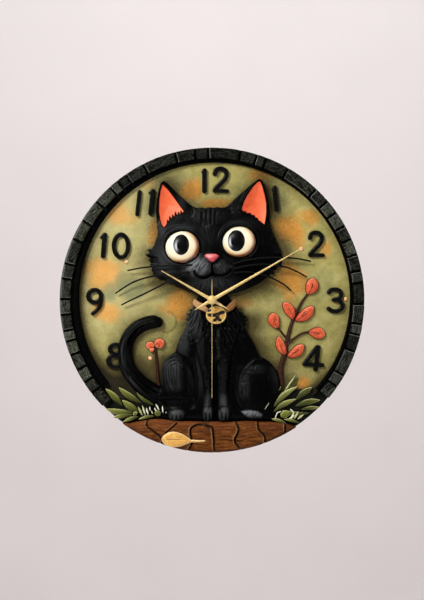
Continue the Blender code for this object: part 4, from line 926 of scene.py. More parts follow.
def build_tail():
    g = Grid(-96, -48, -112, -14, 0.4)
    g.at["crease_shade"] = np.zeros_like(g.X)
    g.at["lit"] = np.zeros_like(g.X)
    d, s, side = run_along(g.X, g.Z, TAIL)
    seg = np.hypot(*(TAIL[1:, :2] - TAIL[:-1, :2]).T)
    at = np.concatenate([[0], np.cumsum(seg)]) / seg.sum()
    r = np.interp(s, at, TAIL[:, 2])
    g.F = r - d
    u = np.clip(d / r, 0, 1)
    g.H = 29.0 + (np.interp(s, at, np.full(len(at), 7.6))) * np.sqrt(np.clip(1 - u ** 2.2, 0, 1))
    g.H -= 4.0 * sstep(0.86, 1.0, s)
    # painted highlight along the tail's upper-left side
    g.at["lit"] = 0.44 * np.exp(-((side / r + 0.45) / 0.35) ** 2) * sstep(0.05, 0.3, s) * sstep(0.86, 0.6, s)
    rng = np.random.default_rng(31)
    pts = TAIL[:, :2]
    t = np.gradient(pts, axis=0)
    nrm = np.stack([-t[:, 1], t[:, 0]], 1)
    nrm /= np.hypot(*nrm.T)[:, None]
    for k in range(46):
        off = rng.uniform(-0.82, 0.82)
        a = rng.uniform(0.0, 0.78)
        L = rng.uniform(0.14, 0.42)
        i0, i1 = int(a * len(pts)), min(int((a + L) * len(pts)) + 2, len(pts) - 1)
        drift = rng.normal(0, 0.10)
        idx = np.arange(i0, i1)
        if len(idx) < 3:
            continue
        o = (off + drift * np.linspace(-1, 1, len(idx))) * TAIL[idx, 2]
        line = pts[idx] + nrm[idx] * o[:, None]
        g.line(line, rng.uniform(0.45, 0.8), -rng.uniform(0.35, 0.95), 0.6, "crease_shade")
        if k % 2:
            g.line(line + nrm[idx] * 1.1, 0.6, 0.3, 0.6)
    # the brush of hairs that parts near the bend
    for q in ([(-90, -62), (-87, -70), (-82, -77.5)], [(-88, -66), (-84.5, -72.5), (-80.5, -78.5)],
              [(-84, -62), (-82.5, -69), (-78, -76)], [(-85.5, -72), (-83.6, -75.6), (-80.8, -79.5)]):
        g.line(spline(q, 5), 0.9, -1.3, 0.5, "crease_shade")
    g.H += 0.10 * g.noise(4, 33) + 0.03 * g.noise(1.2, 34)
    use(relief("tail", g, FACE), COAT, "cat", "cat_tail")


build_tail()


# ============================================================ whiskers
def build_whiskers():
    m = paint("whisker_black_wire", (0.002, 0.002, 0.002), (0.005, 0.005, 0.005), (0.45, 0.6), 0.02, 3.0, spec=0.06)
    left = [[(-19.5, 35.0, 40.6), (-30, 34.8, 40.9), (-44, 34.2, 39.8), (-55.2, 33.6, 38.2), (-65.6, 32.6, 36.4), (-73.6, 31.6, 35.0), (-84.6, 29.4, 33.2)],
            [(-22.0, 27.6, 40.4), (-32, 27.0, 40.6), (-44, 26.0, 39.6), (-56.8, 24, 37.6), (-64, 22.6, 36.6), (-72, 20.4, 35.4), (-80, 17.2, 34.2), (-88, 12.4, 33.0), (-96.6, 6.6, 31.8)],
            [(-22.4, 26.6, 40.2), (-29, 24.0, 40.0), (-36, 21.2, 39.6), (-45.6, 17.2, 38.4), (-56, 12, 37.0), (-68, 6, 35.4), (-80, 0.4, 33.8), (-90.6, -5.0, 32.4)]]
    right = [[(21.0, 36.0, 39.6), (34, 39.5, 39.6), (50, 41.8, 38.6), (62, 42.4, 37.4), (70.5, 42.2, 36.6), (80.5, 41.8, 35.4), (90, 40.5, 34.2), (99.0, 38.6, 33.0)],
             [(21.6, 31.0, 39.6), (34, 34.0, 39.4), (50, 35.6, 38.2), (62, 34.8, 37.2), (66.7, 34, 36.8), (75.3, 32.3, 35.8), (85.7, 27.9, 34.4), (95.0, 22.8, 33.2)],
             [(21.4, 26.6, 39.2), (32, 28.0, 38.8), (44, 26.8, 37.8), (56.7, 23.2, 36.4), (64, 19.7, 35.6), (71.9, 15.4, 34.6), (79.2, 9.2, 33.4)]]
    for name, sets, node in (("whisker_set_left", left, "whiskers_left"), ("whisker_set_right", right, "whiskers_right")):
        co, faces = [], []
        for k, line in enumerate(sets):
            P = spline(line, 7)
            n = len(P)
            r = [0.90 * (1 - 0.16 * (i / (n - 1)) ** 3) for i in range(n)]
            c, f = tube(P, r, 10)
            base = sum(len(x) for x in co)
            co.append(c)
            faces += [[v + base for v in q] for q in f]
        C = np.concatenate(co)
        use(fix_normals(new_object(name, place(C[:, 0], C[:, 1], C[:, 2]), faces, "root", 50)), m, "whiskers", node)


build_whiskers()


# ============================================================ collar and bell
def build_collar():
    m = Mat("collar_tan_paint")
    n = m.noise(4, 4, 0.6)
    light = m.ramp(m.range(n, 0.3, 0.7), [(0, (0.36, 0.19, 0.070)), (1, (0.50, 0.31, 0.14))])
    deep = m.ramp(m.range(n, 0.3, 0.7), [(0, (0.11, 0.036, 0.003)), (1, (0.22, 0.085, 0.010))])
    col = m.mix(m.attr("tone"), deep, light)
    col = m.mix(m.range(m.attr("edge"), 0.9, 0.1), col, (0.16, 0.06, 0.02))
    m.done(col, m.range(m.noise(2), 0.3, 0.7, 0.4, 0.6), m.bump(m.noise(0.9, 3), 0.08))
    poly = spline([(-17.4, 1.2), (-12.5, -1.8), (-8.8, -3.6), (-6.0, -6.2), (-2, -9.2), (4, -10.6), (10, -9.6), (14, -6.8), (16.8, -4.4), (19.8, -1.2),
                   (22.8, 0.5), (24.6, -1), (24.4, -3.9), (22, -8.4), (19.4, -10.5), (15.5, -12.2), (10, -15.4), (4, -16.4), (-3, -15.0),
                   (-7.4, -11.8), (-9.6, -10.7), (-14, -9.0), (-18.4, -5.4), (-19.6, -3.0)], 4, True)
    g = Grid(-22, 27, -18, 3, 0.3)
    g.F = sd_poly(g.X, g.Z, poly)
    g.F = np.minimum(g.F, np.hypot(g.X, g.Z) - 5.2)
    g.at["edge"] = np.clip(g.F, 0, 4)
    g.at["tone"] = sstep(8, -6, g.X + 1.5 * g.noise(4, 55))
    g.H = 38.2 + rounded(g.F, 2.0, 1.3)
    g.line([(-16, -1.2), (-10, -5.2)], 0.4, -0.5, 0.3)
    g.line([(17.4, -7.4), (22.4, -3.4)], 0.4, -0.5, 0.3)
    use(relief("collar_band", g, 37.6), m.m, "collar", "collar")
    b = Mat("bell_gold_paint")
    n = b.noise(3, 5, 0.6)
    col = b.ramp(b.range(n, 0.3, 0.7), [(0, (0.34, 0.16, 0.025)), (0.6, (0.54, 0.31, 0.07)), (1, (0.68, 0.46, 0.16))])
    col = b.mix(b.math("MULTIPLY", b.attr("lip"), 0.5), col, (0.80, 0.64, 0.34))
    col = b.mix(b.range(b.attr("edge"), 0.6, 0.0), col, (0.06, 0.03, 0.008))
    col = b.mix(b.range(b.attr("slot"), 0.15, 0.55), col, (0.003, 0.003, 0.003))
    b.done(col, b.range(b.noise(1.5), 0.3, 0.7, 0.28, 0.45), b.bump(b.noise(0.7, 3), 0.05))
    b.b.inputs["Metallic"].default_value = 0.1
    g = Grid(-7.5, 16, -25, -4.5, 0.22)
    cx, cz, rx, rz = 4.1, -14.9, 10.4, 9.2
    g.F = sd_ellipse(g.X, g.Z, cx, cz, rx, rz)
    g.at["slot"] = np.zeros_like(g.X)
    k = np.clip(1 - ((g.X - cx) / (rx + 1)) ** 2 - ((g.Z - cz) / (rz + 1)) ** 2, 0, 1)
    g.H = 38.9 + 2.9 * k ** 0.5
    lip = np.exp(-((g.F - 0.95) / 0.45) ** 2)
    g.H += 0.45 * lip
    g.at["lip"] = lip
    g.at["edge"] = np.clip(g.F, 0, 4)
    # jingle-bell slots: a cross bar, a stem and a forked foot
    for pts, w in ((spline([(-4.2, -14.6), (0, -15.2), (5, -14.6), (9, -12.8), (13, -11.8)], 5), 1.5),
                   (spline([(5.6, -14.0), (5.6, -18.2)], 3), 1.35),
                   (spline([(5.6, -18.0), (3.4, -19.8), (1.4, -20.8)], 4), 1.2),
                   (spline([(5.6, -18.0), (7.6, -19.8), (9.4, -20.2)], 4), 1.2)):
        g.line(pts, w * 1.22, -1.3, 0.25, "slot", 4.0)
    g.line(spline([(-3.6, -11.0), (-1.4, -10.2)], 3), 1.3, -0.7, 0.1, "slot", 4.0)
    g.H = np.minimum(g.H, 42.2)
    use(relief("jingle_bell", g, 38.2), b.m, "bell", "bell")


build_collar()


# ============================================================ dial
PATCHES = [(-20, 112, 13, 13, 1.0), (3, 97, 16, 6, .9), (47, 125, 13, 8, .9), (76, 71, 19, 17, 1.0), (97, 83, 9, 9, .8), (115, 51, 8, 9, .75),
           (-94, 86, 14, 13, .6), (-108, 27, 17, 15, .85), (-104, -13, 15, 11, .8), (-58, 68, 7, 13, .85), (-33, -3, 15, 18, 1.0), (-31, -15, 8, 10, 1.0),
           (77, 24, 15, 20, 1.0), (92, -83, 8, 7, 1.0), (28, -2, 14, 8, .6), (-62, 118, 8, 6, .3)]
GREYS = [(-80, 8, 14, 14, 1.0), (-90, 18, 11, 12, 1.0), (-102, 9, 8, 13, .95), (68, 100, 12, 10, .7), (-30, 122, 20, 8, .35), (40, -20, 14, 20, .3), (-60, 96, 16, 12, .4), (110, 20, 14, 16, .4)]


def build_dial():
    g = Grid(-140, 140, -122, 140, 0.95)
    X, Z = g.X, g.Z
    r = np.hypot(X, Z)
    g.F = np.minimum(139.8 - r, r - 4.4)
    g.F = np.minimum(g.F, Z + 121.0)
    w1, w2 = g.noise(9, 41), g.noise(3.0, 42)
    warp = 1 + 0.16 * w1 + 0.03 * w2
    orange = np.zeros_like(X)
    for cx, cz, rx, rz, a in PATCHES:
        q = np.hypot((X - cx) / rx, (Z - cz) / rz) * warp
        orange = np.maximum(orange, a * sstep(1.30, 0.45, q))
    grey = np.zeros_like(X)
    for cx, cz, rx, rz, a in GREYS:
        q = np.hypot((X - cx) / rx, (Z - cz) / rz) * warp
        grey = np.maximum(grey, a * sstep(1.25, 0.5, q))
    re = np.hypot(X - 2.5, Z - 2)
    ang = np.arctan2(X, Z)
    left_w, low_w = sstep(0.15, 0.85, -X / 139), sstep(0.2, 0.9, -Z / 139)
    shade = sstep(118, 138, re) * (0.14 + 0.52 * left_w + 0.34 * low_w) + (0.14 + 0.42 * left_w + 0.25 * low_w) * sstep(127, 136, re)
    shade *= 1 - 0.85 * sstep(0.60, 0.95, (-0.50 * X + 0.866 * Z) / 139)
    shade += 0.95 * np.exp(-((X + 96) / 26) ** 2 - ((Z + 92) / 30) ** 2)
    shade += 0.60 * np.exp(-((X - 95) / 30) ** 2 - ((Z + 98) / 20) ** 2)
    shade += 0.22 * sstep(0, 70, X) * sstep(30, -20, Z)
    shade += 0.80 * sstep(-22, -86, Z) * np.exp(-((X + 62) / 26) ** 4)
    # soft painted shadow round the cat, wider below and to the right
    near = np.full(X.shape, -1e3)
    for poly in (HEAD, BODY):
        near = np.maximum(near, sd_poly(X - 4, Z + 5, poly))
    near = np.maximum(near, sd_line(X - 1, Z + 2, TAIL[:, :2], list(TAIL[:, 2])) - 6)
    fade = np.clip(1 + (near + 1.5 * w1) / 30.0, 0, 1)
    shade += 0.98 * fade ** 1.7
    g.at["orange"] = orange
    g.at["grey"] = grey
    shade += 0.75 * np.exp(-((X + 86) / 15) ** 2 - ((Z + 95) / 13) ** 2)
    shade += 1.1 * np.exp(-((X - 102) / 8) ** 2 - ((Z + 95) / 7) ** 2)
    shade *= 1 - 0.72 * np.exp(-((X - 92) / 9) ** 2 - ((Z + 83) / 7) ** 2)
    shade *= 1 - 0.60 * np.exp(-((X - 78) / 13) ** 2 - ((Z - 22) / 15) ** 2)
    shade *= 1 - 0.45 * np.exp(-((X - 46) / 20) ** 2 - ((Z + 4) / 11) ** 2)
    shade *= 1 - 0.50 * np.exp(-((X + 33) / 12) ** 2 - ((Z + 4) / 16) ** 2)
    # the deepest painted shadow, where painted shades overlap
    g.at["deep"] = np.clip((shade - 1.12) / 0.5, 0, 1)
    g.at["shade"] = np.clip(shade, 0, 1)
    # painted light: the upper left of the dial is painted brighter, as if lit
    g.at["painted_light"] = sstep(-20, -85, X) * sstep(-70, 0, Z) * (0.75 + 0.25 * w1 * 0.5)
    g.H = FACE - 0.32 + 0.09 * g.noise(2.6, 43) + 0.07 * g.noise(7, 44)
    rng = np.random.default_rng(45)
    for k in range(150):          # trowel marks
        x, z = rng.uniform(-135, 135), rng.uniform(-115, 135)
        a = rng.uniform(0, pi)
        L = rng.uniform(5, 18)
        g.line([(x, z), (x + L * cos(a), z + L * sin(a))], rng.uniform(0.7, 1.3), rng.choice([-1, 1]) * rng.uniform(0.05, 0.16), 0.5)
    arc = [(-46 + 10.2 * cos(t), -22 + 10.4 * sin(t)) for t in np.linspace(radians(80), radians(-110), 24)]
    g.line(arc, 0.8, -0.6, 0.4)
    d_arc = run_along(X, Z, arc)[0]
    g.at["shade"] = np.clip(g.at["shade"] + 0.35 * np.exp(-(d_arc / 0.9) ** 2), 0, 1)
    g.H = np.clip(g.H, FACE - 0.8, FACE)
    m = Mat("dial_olive_stucco")
    n1 = m.noise(14, 5, 0.6)
    n2 = m.noise(2.2, 5, 0.7)
    spk = m.range(m.noise(0.9, 2, 0.7), 0.55, 0.62)
    olive = m.ramp(m.range(n1, 0.28, 0.72), [(0, (0.225, 0.200, 0.055)), (0.5, (0.320, 0.285, 0.088)), (1, (0.43, 0.385, 0.150))])
    olive = m.mix(m.math("MULTIPLY", m.range(n2, 0.45, 0.72), 0.25), olive, (0.46, 0.42, 0.19))
    olive = m.mix(m.math("MULTIPLY", m.attr("painted_light"), 0.55), olive, (0.54, 0.475, 0.235))
    og = m.ramp(m.range(n2, 0.25, 0.75), [(0, (0.40, 0.150, 0.018)), (0.6, (0.52, 0.225, 0.034)), (1, (0.62, 0.32, 0.080))])
    of = m.math("ADD", m.attr("orange"), m.range(n2, 0.3, 0.7, -0.05, 0.05), clamp=True)
    col = m.mix(m.math("MULTIPLY", of, 0.92), olive, og)
    col = m.mix(m.math("MULTIPLY", m.attr("grey"), 0.72), col, (0.165, 0.185, 0.090))
    col = m.mix(m.math("MULTIPLY", m.math("MULTIPLY", m.attr("painted_light"), m.attr("orange")), 0.6), col, (0.74, 0.39, 0.115))
    # painted shade and painted shadow darken the plaster, with speckle in the shade and the deepest to near black
    dark = m.math("ADD", m.math("MULTIPLY", m.attr("shade"), 0.92), m.math("MULTIPLY", m.math("MULTIPLY", spk, m.attr("shade")), 0.55), clamp=True)
    col = m.mix(dark, col, (0.036, 0.026, 0.007))
    col = m.mix(m.math("MULTIPLY", m.attr("deep"), 0.85), col, (0.004, 0.003, 0.001))
    col = m.mix(m.math("MULTIPLY", spk, 0.16), col, (0.10, 0.09, 0.03))
    hb = m.math("ADD", m.math("MULTIPLY", n2, 0.7), m.math("MULTIPLY", m.noise(0.6, 3, 0.6), 0.35))
    m.done(col, m.range(n2, 0.3, 0.7, 0.62, 0.82), m.bump(hb, 0.22), 0.12)
    use(relief("dial_plate", g, 25.4), m.m, "dial", "dial_panel")
    bead = paint("bead_peach", (0.62, 0.30, 0.14), (0.85, 0.52, 0.30), (0.35, 0.5), 0.03, 2)
    for i, (x, z) in enumerate(((-86, 38.4), (89.6, 51.3), (134.0, 1), (-62, -58.3))):
        prof = [(0, FACE - 0.6)] + [(2.0, FACE - 0.6), (2.0, FACE + 0.25)] + [(2.0 * cos(a), FACE + 0.25 + 1.0 * sin(a)) for a in np.linspace(0.2, pi / 2 - 0.2, 4)] + [(0, FACE + 1.28)]
        use(lathe(f"dial_bead_{i + 1}", prof, n=28, centre=(x, z), smooth=50, closed=False), bead, "dial")


build_dial()


# ============================================================ numerals
def build_numerals():
    m = paint("numeral_black_gloss", (0.0010, 0.0010, 0.0010), (0.0028, 0.0028, 0.0028), (0.24, 0.34), 0.015, 5.0, spec=0.16)

    def digit(name, lines, node, holes=(), rings=(), cut=None):
        allp = np.concatenate([np.asarray(l, float)[:, :2] for l, _ in lines] + [np.array([[c[0] - c[2], c[1] - c[3]], [c[0] + c[2], c[1] + c[3]]]) for c in rings]) \
            if (lines or rings) else None
        g = Grid(allp[:, 0].min() - 3.2, allp[:, 0].max() + 3.2, allp[:, 1].min() - 3.2, allp[:, 1].max() + 3.2, 0.26)
        F = np.full(g.X.shape, -1e3)
        for l, r in lines:
            F = np.maximum(F, sd_line(g.X, g.Z, l, r))
        for cx, cz, rx, rz, w in rings:
            F = np.maximum(F, np.minimum(sd_ellipse(g.X, g.Z, cx, cz, rx, rz), -sd_ellipse(g.X, g.Z, cx, cz, rx - w, rz - w)))
        if cut is not None:
            F = np.minimum(F, cut(g.X, g.Z))
        g.F = F
        g.H = FACE + 1.5 + rounded(F, 1.15, 2.0)
        use(relief(name, g, FACE - 0.4), m, "numerals", node)

    digit("digit_12a", [([(-7.6, 109.4), (-7.5, 129.6)], 2.45), ([(-7.8, 129.5), (-8.8, 128.4)], [2.2, 1.9])], "numeral_12_one")
    digit("digit_12b", [(spline([(2.9, 126.6), (4.4, 130.2), (8.6, 131.6), (13.0, 129.9), (14.6, 126.0), (13.0, 121.4), (8.6, 116.6), (4.0, 112.2), (2.9, 109.8)], 6),
                         2.4), ([(3.0, 109.6), (15.2, 109.2)], [2.2, 1.9])], "numeral_12_two")
    digit("digit_1", [([(62.9, 112.1), (65.0, 91.0)], [2.6, 2.6]), ([(62.6, 112.3), (60.9, 110.4)], [2.2, 1.4])], "numeral_1")
    digit("digit_2", [(spline([(98.4, 62.4), (99.8, 66.2), (104.0, 67.5), (108.6, 65.8), (110.2, 61.8), (108.6, 57.2), (104.2, 52.0), (99.8, 47.6), (98.6, 45.2)], 6),
                       2.35), ([(98.8, 45.0), (111.2, 44.8)], [2.2, 2.0])], "numeral_2")
    digit("digit_3", [(spline([(117.2, 7.6), (119.6, 10.0), (124.4, 10.4), (128.6, 8.6), (129.4, 4.6), (126.6, 1.2), (122.2, 0.2)], 6), 2.25),
                      (spline([(122.2, 0.2), (127.2, -0.8), (130.6, -4.2), (129.6, -8.8), (125.2, -11.3), (120.4, -11.0), (117.0, -8.8)], 6), 2.25)], "numeral_3")
    digit("digit_4", [([(105.2, -47.4), (93.0, -63.6)], [2.3, 2.2]), ([(92.8, -64.4), (110.6, -65.4)], [2.3, 2.2]), ([(106.8, -47.6), (103.8, -69.6)], [2.3, 2.4])],
          "numeral_4")
    digit("digit_8", [], "numeral_8", rings=[(-97.0, -49.3, 7.6, 6.8, 4.2), (-97.2, -61.4, 9.2, 8.0, 4.6)],
          cut=lambda X, Z: -sd_line(X, Z, TAIL[:, :2], list(TAIL[:, 2] - 1.0)))
    digit("digit_9", [(spline([(-111.2, 4.0), (-111.4, -2.6), (-114.0, -8.8), (-119.4, -13.6)], 6), [2.3] * 12 + [2.1] * 7)], "numeral_9",
          rings=[(-117.6, 3.8, 8.7, 8.5, 4.6)])
    digit("digit_10a", [([(-107.5, 65.2), (-109.2, 44.0)], 2.5), ([(-107.8, 65.2), (-110.8, 62.6)], [2.2, 1.6])], "numeral_10_one")
    digit("digit_10b", [], "numeral_10_zero", rings=[(-91.2, 54.2, 9.5, 13.7, 4.7)])
    digit("digit_11a", [([(-72.5, 108.2), (-74.9, 85.9)], [2.2, 2.2])], "numeral_11_one_left")
    digit("digit_11b", [([(-59.0, 108.8), (-61.5, 87.1)], [2.6, 2.6]), ([(-59.4, 109.0), (-62.4, 107.2)], [2.4, 1.5])], "numeral_11_one_right")


build_numerals()


# ============================================================ rim
def build_rim():
    m = paint("bezel_black_lacquer", (0.0004, 0.0004, 0.0004), (0.0012, 0.0012, 0.0012), (0.46, 0.56), 0.03, 10, spec=0.02)
    lo_a, hi_a = -129.0, 130.6
    n = 300
    co, faces = [], []
    prof = []
    for k in range(n + 1):
        cw = radians(lo_a + (hi_a - lo_a) * k / n)
        ux, uz = sin(cw), cos(cw)
        b = ux * 2.5 + uz * 2.0
        ri = b + sqrt(b * b - (2.5 ** 2 + 2.0 ** 2 - 135.8 ** 2))
        ro = 140.9
        w = ro - ri
        q = [(ri, FACE - 0.3), (ri, FACE + 1.2)]
        q += [(ri + min(1.6, w * 0.5) * (1 - cos(t)), FACE + 1.2 + 3.6 * sin(t)) for t in np.linspace(0.25, pi / 2, 6)]
        q += [(ro - 0.8, FACE + 4.8), (ro, FACE + 4.2), (ro, FACE - 0.3)]
        co += [(r * ux, r * uz, h) for r, h in q]
        mm = len(q)
    for k in range(n):
        for i in range(mm):
            j = (i + 1) % mm
            faces.append([k * mm + i, k * mm + j, (k + 1) * mm + j, (k + 1) * mm + i])
    faces.append(list(range(mm)))
    faces.append([n * mm + i for i in range(mm)][::-1])
    C = np.array(co)
    use(fix_normals(new_object("rim_ring", place(C[:, 0], C[:, 1], C[:, 2]), faces, "root", 40)), m, "bezel", "rim_bezel")


build_rim()

JOINTS = [232.2, 237.1, 242.5, 248.6, 254, 258.1, 264.3, 270.4, 278.2, 284, 293.8, 301.6, 310.4, 317.8, 321.5, 325.4, 333.1, 345.9, 353.3, 358.6,
          370.9, 377.2, 381, 390.1, 403.2, 409.5, 414.8, 420.8, 426.3, 432.5, 438.8, 443.4, 451.6, 459.3, 463.4, 470, 479.9, 484.8]


def build_bricks():
    """Ring of bricks as one casting: a fine polar relief with chipped faces and scored joints."""
    a0, a1 = 226.0, 490.0
    na = 2100
    nr = 26
    A = np.linspace(a0, a1, na)
    R = np.linspace(140.5, RIM - 0.02, nr)
    AA, RR = np.meshgrid(A, R, indexing="ij")
    edges = np.array([a0 - 4] + JOINTS + [a1 + 4])
    idx = np.clip(np.searchsorted(edges, AA) - 1, 0, len(edges) - 2)
    rng = np.random.default_rng(61)
    nb = len(edges) - 1
    height = rng.uniform(-0.7, 0.25, nb)
    tilt_a, tilt_r = rng.normal(0, 0.28, nb), rng.normal(0, 0.24, nb)
    lined = rng.random(nb)
    inset = rng.uniform(0.0, 0.3, nb)
    tone = rng.uniform(0.15, 1, nb)
    mid_a = 0.5 * (edges[:-1] + edges[1:])
    tone *= 1 - 0.85 * np.exp(-((mid_a - 362) / 32) ** 2)
    tone *= 1 - 0.30 * np.exp(-((mid_a - 460) / 32) ** 2)
    tone = np.clip(tone * (1 + 0.25 * np.exp(-((mid_a - 270) / 36) ** 2)), 0, 1)
    turn = rng.uniform(-0.5, 0.5, nb)
    arc = RR * np.radians(AA)
    left = RR * np.radians(edges[idx])
    right = RR * np.radians(edges[idx + 1])
    wob = 0.25 * np.sin(RR * 0.9 + idx * 2.1) + 0.12 * np.sin(RR * 4.3 + idx)
    da = np.minimum(arc - left + wob * 0.5, right - arc + wob * 0.5) - 0.95
    dr = np.minimum(RR - 140.5 - 0.4 - inset[idx], RIM - 0.2 - RR)
    q = np.minimum(da, dr)
    nz = soft_noise(AA.shape, 14, 62)
    nz2 = soft_noise(AA.shape, 4, 63)
    q = q + 0.07 * nz2 + 0.04 * nz
    H = 33.6 + rounded(q, 0.5, 3.2) + height[idx] * sstep(0, 1, q)
    u = (arc - (left + right) / 2) / 8
    v = (RR - 146.5) / 6
    H += (tilt_a[idx] * u + tilt_r[idx] * v) * sstep(0, 1.2, q)
    H = np.where(q < 0, 33.4 + 0.3 * nz, H)
    scratch = np.zeros_like(H)
    for k in range(1500):
        b = rng.integers(0, nb)
        lo_, hi_ = edges[b], edges[b + 1]
        c = rng.uniform(lo_, hi_)
        r = rng.uniform(141.6, 151.4)
        along = rng.random() < 0.78
        La = rng.uniform(1.0, 4.5) if along else rng.uniform(0.2, 1.2)
        Lr = rng.uniform(0.1, 0.7) if along else rng.uniform(1.5, 5.0)
        th = turn[b]
        i0, i1 = np.searchsorted(A, [c - 3.2, c + 3.2])
        sub = np.s_[i0:i1, :]
        du = (AA[sub] - c) * 2.55
        dv = RR[sub] - r
        uu, vv = du * cos(th) + dv * sin(th), -du * sin(th) + dv * cos(th)
        if along:
            s = np.exp(-(uu / La) ** 4 - (vv / 0.28) ** 2)
        else:
            s = np.exp(-(uu / 0.28) ** 2 - (vv / Lr) ** 4)
        inside = (idx[sub] == b)
        scratch[sub] = np.maximum(scratch[sub], s * inside)
        H[sub] -= rng.uniform(0.15, 0.5) * s * inside * (q[sub] > 0.3)
    H += 0.10 * nz2 * (q > 0)
    H = np.minimum(H, 37.5)
    # silhouette: nick the outer edge at the joints
    nick = np.clip(1 - np.minimum(arc - left, right - arc) / 1.3, 0, 1)
    Rout = RR - np.where(RR > 150.5, (RR - 150.5) / 2.0 * 0.22 * nick, 0)
    ang = np.radians(AA)
    co_front = np.stack([Rout * np.sin(ang), Rout * np.cos(ang), H], -1)
    depth = [31.0, 28.0, 25.4]
    outer = [np.stack([Rout[:, -1] * np.sin(ang[:, -1]), Rout[:, -1] * np.cos(ang[:, -1]), np.full(na, h)], -1) for h in depth]
    for i, h in enumerate(depth):
        f = 1.0 if h < 28.5 else 0.5
        rr = Rout[:, -1] * (1 - f) + RR[:, -1] * f
        outer[i][:, 0], outer[i][:, 1] = rr * np.sin(ang[:, -1]), rr * np.cos(ang[:, -1])
    inner = [np.stack([RR[:, 0] * np.sin(ang[:, 0]), RR[:, 0] * np.cos(ang[:, 0]), np.full(na, h)], -1) for h in (25.4, 30.0)]
    ring = np.concatenate([co_front] + [o[:, None, :] for o in outer] + [i[:, None, :] for i in inner], 1)
    m_ = ring.shape[1]
    co = ring.reshape(-1, 3)
    faces = []
    k = np.arange(na - 1)
    for i in range(m_):
        j = (i + 1) % m_
        faces += np.stack([k * m_ + i, k * m_ + j, (k + 1) * m_ + j, (k + 1) * m_ + i], 1).tolist()
    faces.append(list(range(m_)))
    faces.append([(na - 1) * m_ + i for i in range(m_)][::-1])
    att = {}
    # painted highlights: a pale line along one side edge of many bricks, along the inner edge of bricks on the right,
    # and along the outer edge at the upper left
    lead = np.exp(-((arc - left - 1.45) / 0.36) ** 2) * (lined[idx] > 0.25)
    sill = np.exp(-((RR - 140.5 - 1.0 - inset[idx]) / 0.36) ** 2) * (lined[idx] > 0.45) * (AA > 375)
    crown = sstep(149.0, 151.6, RR) * np.exp(-((AA - 284) / 26) ** 4)
    edge_highlight = np.clip(np.maximum(lead, sill) * (q > 0) + 0.9 * crown * (q > 0.1), 0, 1)
    for key, f in (("top", np.clip(q / 2.0, 0, 1)), ("tone", tone[idx] + 0 * AA), ("scratch", scratch), ("edge_highlight", edge_highlight), ("arc", arc), ("rad", RR)):
        full = np.zeros((na, m_))
        full[:, :nr] = f
        full[:, nr:] = f[:, -1:] * (0 if key in ("top", "edge_highlight") else 1)
        att[key] = full.ravel()
    ob = fix_normals(new_object("brick_ring", place(co[:, 0], co[:, 1], co[:, 2]), faces, "root", 55, att))
    m = Mat("brick_charcoal_green")
    n1 = m.noise(3.5, 5, 0.65)
    n2 = m.noise(0.7, 4, 0.7)
    lay = m.combined(m.math("MULTIPLY", m.attr("arc"), 0.20), m.attr("rad"), m.math("MULTIPLY", m.attr("tone"), 60.0))
    hatch = m.noise(0.85, 3, 0.65, lay, 0.3)
    cross = m.noise(0.9, 3, 0.7, m.combined(m.attr("arc"), m.math("MULTIPLY", m.attr("rad"), 0.45), m.math("MULTIPLY", m.attr("tone"), 90.0)))
    col = m.ramp(m.attr("tone"), [(0, (0.0005, 0.0006, 0.0004)), (0.5, (0.0024, 0.0028, 0.0012)), (1, (0.0120, 0.0135, 0.0058))])
    col = m.mix(m.math("MULTIPLY", m.range(n1, 0.5, 0.75), m.range(m.attr("tone"), 0, 1, 0.02, 0.45)), col, (0.036, 0.040, 0.014))
    weight = m.range(m.attr("tone"), 0, 1, 0.05, 0.80)
    top = m.range(m.attr("top"), 0.15, 0.5)
    streak = m.math("MULTIPLY", m.math("MULTIPLY", m.range(hatch, 0.55, 0.66), m.range(cross, 0.40, 0.58)), m.math("MULTIPLY", weight, top))
    col = m.mix(streak, col, (0.190, 0.202, 0.145))
    col = m.mix(m.math("MULTIPLY", m.math("MULTIPLY", m.attr("scratch"), m.range(n2, 0.42, 0.58)), weight), col, (0.17, 0.183, 0.155))
    col = m.mix(m.math("MULTIPLY", m.math("MULTIPLY", m.attr("edge_highlight"), m.range(n2, 0.36, 0.56)), 0.75), col, (0.22, 0.23, 0.205))
    col = m.mix(m.range(m.attr("top"), 0.22, 0.0), col, (0.0006, 0.0006, 0.0006))
    m.done(col, m.range(n2, 0.3, 0.7, 0.36, 0.60), m.bump(m.math("ADD", m.math("MULTIPLY", hatch, 1.2), m.math("MULTIPLY", n1, 0.6)), 0.12), 0.04)
    use(ob, m.m, "bricks", "brick_rim")


build_bricks()


# ============================================================ ledge
LEDGE_TOP = [(-89.4, -123.2), (-82, -123.4), (-74, -121.6), (-66, -120.4), (-60, -119.2), (-55, -118.9), (-50, -119.2), (-40, -120.5), (-30, -121.2),
             (-20, -121.4), (-10, -121.8), (0, -121.3), (10, -122.0), (20, -122), (30, -121.2), (40, -121), (50, -121.6), (60, -122),
             (68, -122.8), (75, -124), (84.3, -126.8)]
CRACKS = [([(-64, -119.5), (-65, -125), (-60, -130), (-52, -136), (-49.5, -141), (-53, -144)], 0.8), ([(-35, -123), (-41, -128), (-46.5, -132.5)], 0.65),
          ([(-2, -128), (-8, -125), (-15, -124.5), (-20.5, -127.5), (-21.5, -133), (-20, -143), (-24.5, -150.5)], 0.85),
          ([(-10, -121.5), (-4, -125.5), (0, -127.5), (1.5, -135), (2.5, -152)], 0.85),
          ([(23, -121), (26.5, -128), (25.5, -133), (23, -138), (23.5, -143), (29, -150)], 0.85),
          ([(45.5, -121), (46.5, -129), (51, -134), (53, -138), (51.5, -145)], 0.8), ([(73, -122), (73, -131.5)], 0.8)]


